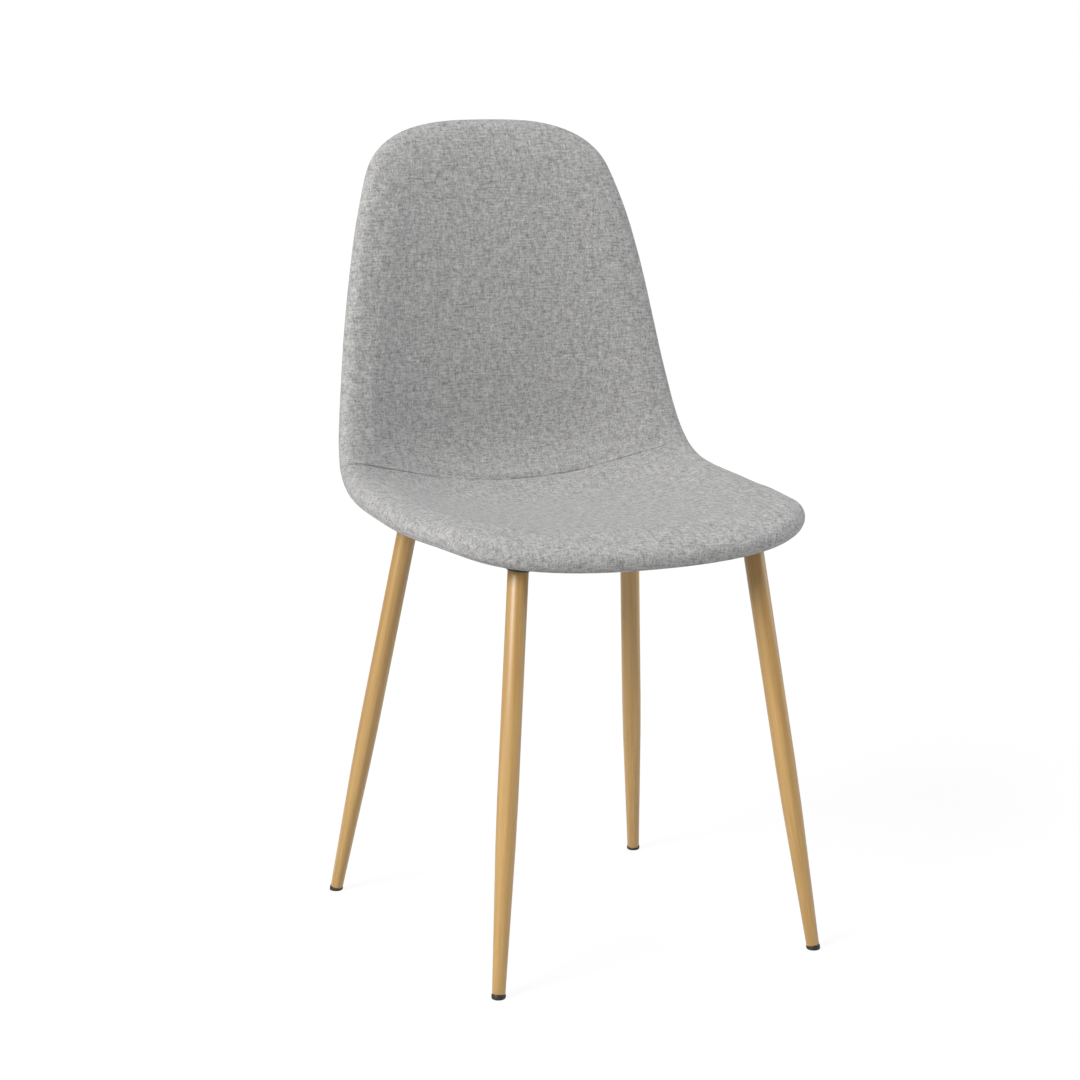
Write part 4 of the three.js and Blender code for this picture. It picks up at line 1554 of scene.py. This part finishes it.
def make_weld(corner):
    """A rippled ring round the tube, drawn out where the tube meets the plate at a slant."""
    leg = legs[corner]
    normal, axis = leg["plate"][1], leg["axis"]
    deselect_all()
    bpy.ops.mesh.primitive_torus_add(
        major_segments=6 * weld_ripples, minor_segments=10,
        major_radius=leg["radii"][1], minor_radius=weld_radius,
    )
    piece = added(f"weld_{corner}")
    for vertex in piece.data.vertices:
        angle = math.atan2(vertex.co.y, vertex.co.x)
        ring = Vector((math.cos(angle), math.sin(angle), 0.0)) * leg["radii"][1]
        swell = 1.0 + weld_ripple_share * math.sin(weld_ripples * angle)
        vertex.co = ring + (vertex.co - ring) * swell
    slant = (axis - normal * axis.dot(normal)).normalized()
    stretch = Matrix.Scale(1.0 / axis.dot(normal), 4, slant)
    turn = normal.to_track_quat("Z", "Y").to_matrix().to_4x4()
    place_mesh(piece, Matrix.Translation(leg["top"]) @ stretch @ turn)
    smooth(piece, 60.0)
    finish_piece(piece, black_coat, "black_steel")


for corner in corners:
    make_plate(corner)
    make_weld(corner)

# %% [markdown]
# ## Bolts and washers
#
# Eight button-head bolts hold the plates. One bolt is modelled, upright with its head below: a
# short cylinder whose lower rim is rounded by a wide bevel, a six-sided socket cut into it,
# and the shank extruded from its upper face. The others are copies, each with its own mesh.

# %% Bolts and washers
head_radius = 0.00525
head_height = 0.0033
head_rounding_share = 0.7
shank_radius = 0.003
socket_radius = 0.0023
socket_depth = 0.002
washer_radius = 0.008
washer_hole = 0.0033
small_sides = 40


def bolt_model(shank_length):
    piece = upright_cylinder(
        "bolt_model", head_radius, head_height, (0.0, 0.0, -head_height / 2.0), small_sides
    )
    place_mesh(piece)
    pick(piece, "EDGE", at_height(-head_height))
    bpy.ops.mesh.bevel(offset=head_rounding_share * head_height, segments=6, affect="EDGES")
    pick(piece, "FACE", lambda face: face.normal.z > nearly_along)
    raise_top(head_radius - shank_radius, shank_length)
    socket = upright_cylinder(
        "socket", socket_radius, 2.0 * socket_depth, (0.0, 0.0, -head_height), 6
    )
    place_mesh(socket)
    cut_out(piece, socket)
    soften(piece, rim_radius / 2.0, 50.0)
    smooth(piece, 35.0)
    return piece


def washer_model(thickness):
    deselect_all()
    bpy.ops.mesh.primitive_circle_add(
        vertices=small_sides, radius=washer_hole, fill_type="NOTHING"
    )
    piece = added("washer_model")
    pick(piece, "EDGE")
    bpy.ops.mesh.extrude_edges_move()
    grown = washer_radius / washer_hole
    bpy.ops.transform.resize(value=(grown, grown, 1.0))
    bpy.ops.mesh.select_all(action="SELECT")
    bpy.ops.mesh.normals_make_consistent(inside=False)
    apply_modifier(piece, "SOLIDIFY", thickness=thickness, offset=0.0)
    soften(piece, rim_radius / 2.0, 50.0)
    smooth(piece, 35.0)
    return piece


def copy_of(model, name, stand):
    piece = model.copy()
    piece.data = model.data.copy()
    piece.name = name
    bpy.context.collection.objects.link(piece)
    place_mesh(piece, stand)
    return piece


washer_thickness = flat_place(f"washer_{corners[0]}_1")[2]
bolt_points = mesh_points(f"seat_bolt_{corners[0]}_1")
bolt_normal = np.array(legs[corners[0]]["plate"][1])
bolt_length = float(np.ptp(bolt_points @ bolt_normal)) - head_height
bolt = bolt_model(bolt_length)
washer = washer_model(washer_thickness)
for corner in corners:
    normal = legs[corner]["plate"][1]
    for number in (1, 2):
        node = f"seat_bolt_{corner}_{number}"
        along = mesh_points(node) @ np.array(normal)
        centre = flat_place(f"washer_{corner}_{number}")[0]
        under_head = centre + normal * (along.min() + head_height - centre.dot(normal))
        piece = copy_of(bolt, f"bolt_{corner}_{number}", standing_on(under_head, normal))
        finish_piece(piece, zinc_plate, "zinc", node)
        piece = copy_of(washer, f"flat_washer_{corner}_{number}", standing_on(centre, normal))
        finish_piece(piece, zinc_plate, "zinc", f"washer_{corner}_{number}")
bpy.data.objects.remove(bolt)
bpy.data.objects.remove(washer)

# %% [markdown]
# ## Dust liner and its staples
#
# A thin black felt closes the underside. It is cut a little smaller than the seat, pulled tight
# and stapled along its edge. It is a flat cloth carried to the underside as the covers were, and
# the staples are one small wire crown, modelled once and set round the edge every few
# centimetres.

# %% Dust liner
liner_share = 0.88
liner_end = 0.356
liner_gap = 0.0003
liner_thickness = 0.0005
liner_cell = 0.012

liner_walks = np.linspace(
    front_corner_walk, walk_to(liner_end),
    round((walk_to(liner_end) - front_corner_walk) / liner_cell) + 1,
)
liner, _, _ = formed_cloth(
    "dust_liner", liner_cell, liner_walks, 0, [],
    lambda past_edge: round_height(past_edge) + liner_gap, no_fold, -1, liner_share,
)
thicken(liner, liner_thickness, 1.0)
finish_piece(liner, liner_felt, "liner", "underside_liner")

# %% Staples
staple_width = 0.0095
staple_wire = 0.0006
staple_spacing = 0.028
staple_inset = 0.005


def staple_model():
    """A wire crown that lies flat, with its two bent ends going in."""
    deselect_all()
    bpy.ops.mesh.primitive_cube_add(size=1.0)
    piece = added("staple_model")
    place_mesh(piece, Matrix.Diagonal((staple_width, 2.0 * staple_wire, staple_wire, 1.0)))
    for side in (-1.0, 1.0):
        pick(piece, "FACE", lambda face: face.normal.x * side > nearly_along)
        bpy.ops.mesh.extrude_region_move(
            TRANSFORM_OT_translate={"value": (side * staple_wire, 0.0, -staple_wire)}
        )
    apply_modifier(piece, "BEVEL", width=staple_wire / 4.0, segments=1)
    return piece


def under_liner(walk, share, side):
    """A place on the liner's outer face and the way down from it."""
    station, across = (np.asarray(value) for value in row_point(np.array(walk), share))
    normal = front_normal(station, across)
    place = middle_surface(station, across) - normal * (cover_radius + liner_gap + liner_thickness)
    return Vector((side * place[0], place[1], place[2])), -Vector(
        (side * normal[0], normal[1], normal[2])
    )


def set_staple(place, down, along):
    """Sets one copy of the staple on the liner, along a direction."""
    turn = Matrix((along, down.cross(along), down)).transposed().to_4x4()
    middle = place + down * staple_wire / 2.0
    staples.append(copy_of(model, "staple", Matrix.Translation(middle) @ turn))


model = staple_model()
staples = []
inset_share = liner_share - staple_inset / float(outline_width.max())
edge_end = walk_to(liner_end) - staple_inset
for side in (-1.0, 1.0):
    for walk in np.arange(staple_spacing / 2.0, edge_end, staple_spacing):
        place, down = under_liner(walk, inset_share, side)
        ahead = under_liner(walk + probe, inset_share, side)[0]
        set_staple(place, down, (ahead - place).normalized())
rear_half = float(row_point(np.array(edge_end), inset_share)[1])
for across in np.arange(-rear_half, rear_half, staple_spacing):
    share = abs(across) / rear_half * inset_share
    place, down = under_liner(edge_end, share, math.copysign(1.0, across))
    sideways = Vector((1.0, 0.0, 0.0))
    set_staple(place, down, (sideways - down * sideways.dot(down)).normalized())
bpy.data.objects.remove(model)
print(len(staples), "staples")
liner_staples = join(staples, "liner_staples")
smooth(liner_staples, 30.0)
finish_piece(liner_staples, zinc_plate, "zinc")

# %% [markdown]
# ## Pieces that stay hidden
#
# The board, the tape in the crease and the threaded nuts keep their shapes from the model and
# get their finishes, because they are whole solids already and only show when the chair is
# taken apart.

# %% Finishes of the kept nodes
kept_finishes = {"shell_board": plywood, "crease_listing": tape_cloth}
for corner in corners:
    kept_finishes[f"leg_pad_{corner}"] = glide_plastic
    for number in (1, 2):
        kept_finishes[f"tee_nut_{corner}_{number}"] = zinc_plate
for name, material in kept_finishes.items():
    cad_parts[name].material_slots[0].material = material
print(len(kept_finishes), "nodes keep their shape")
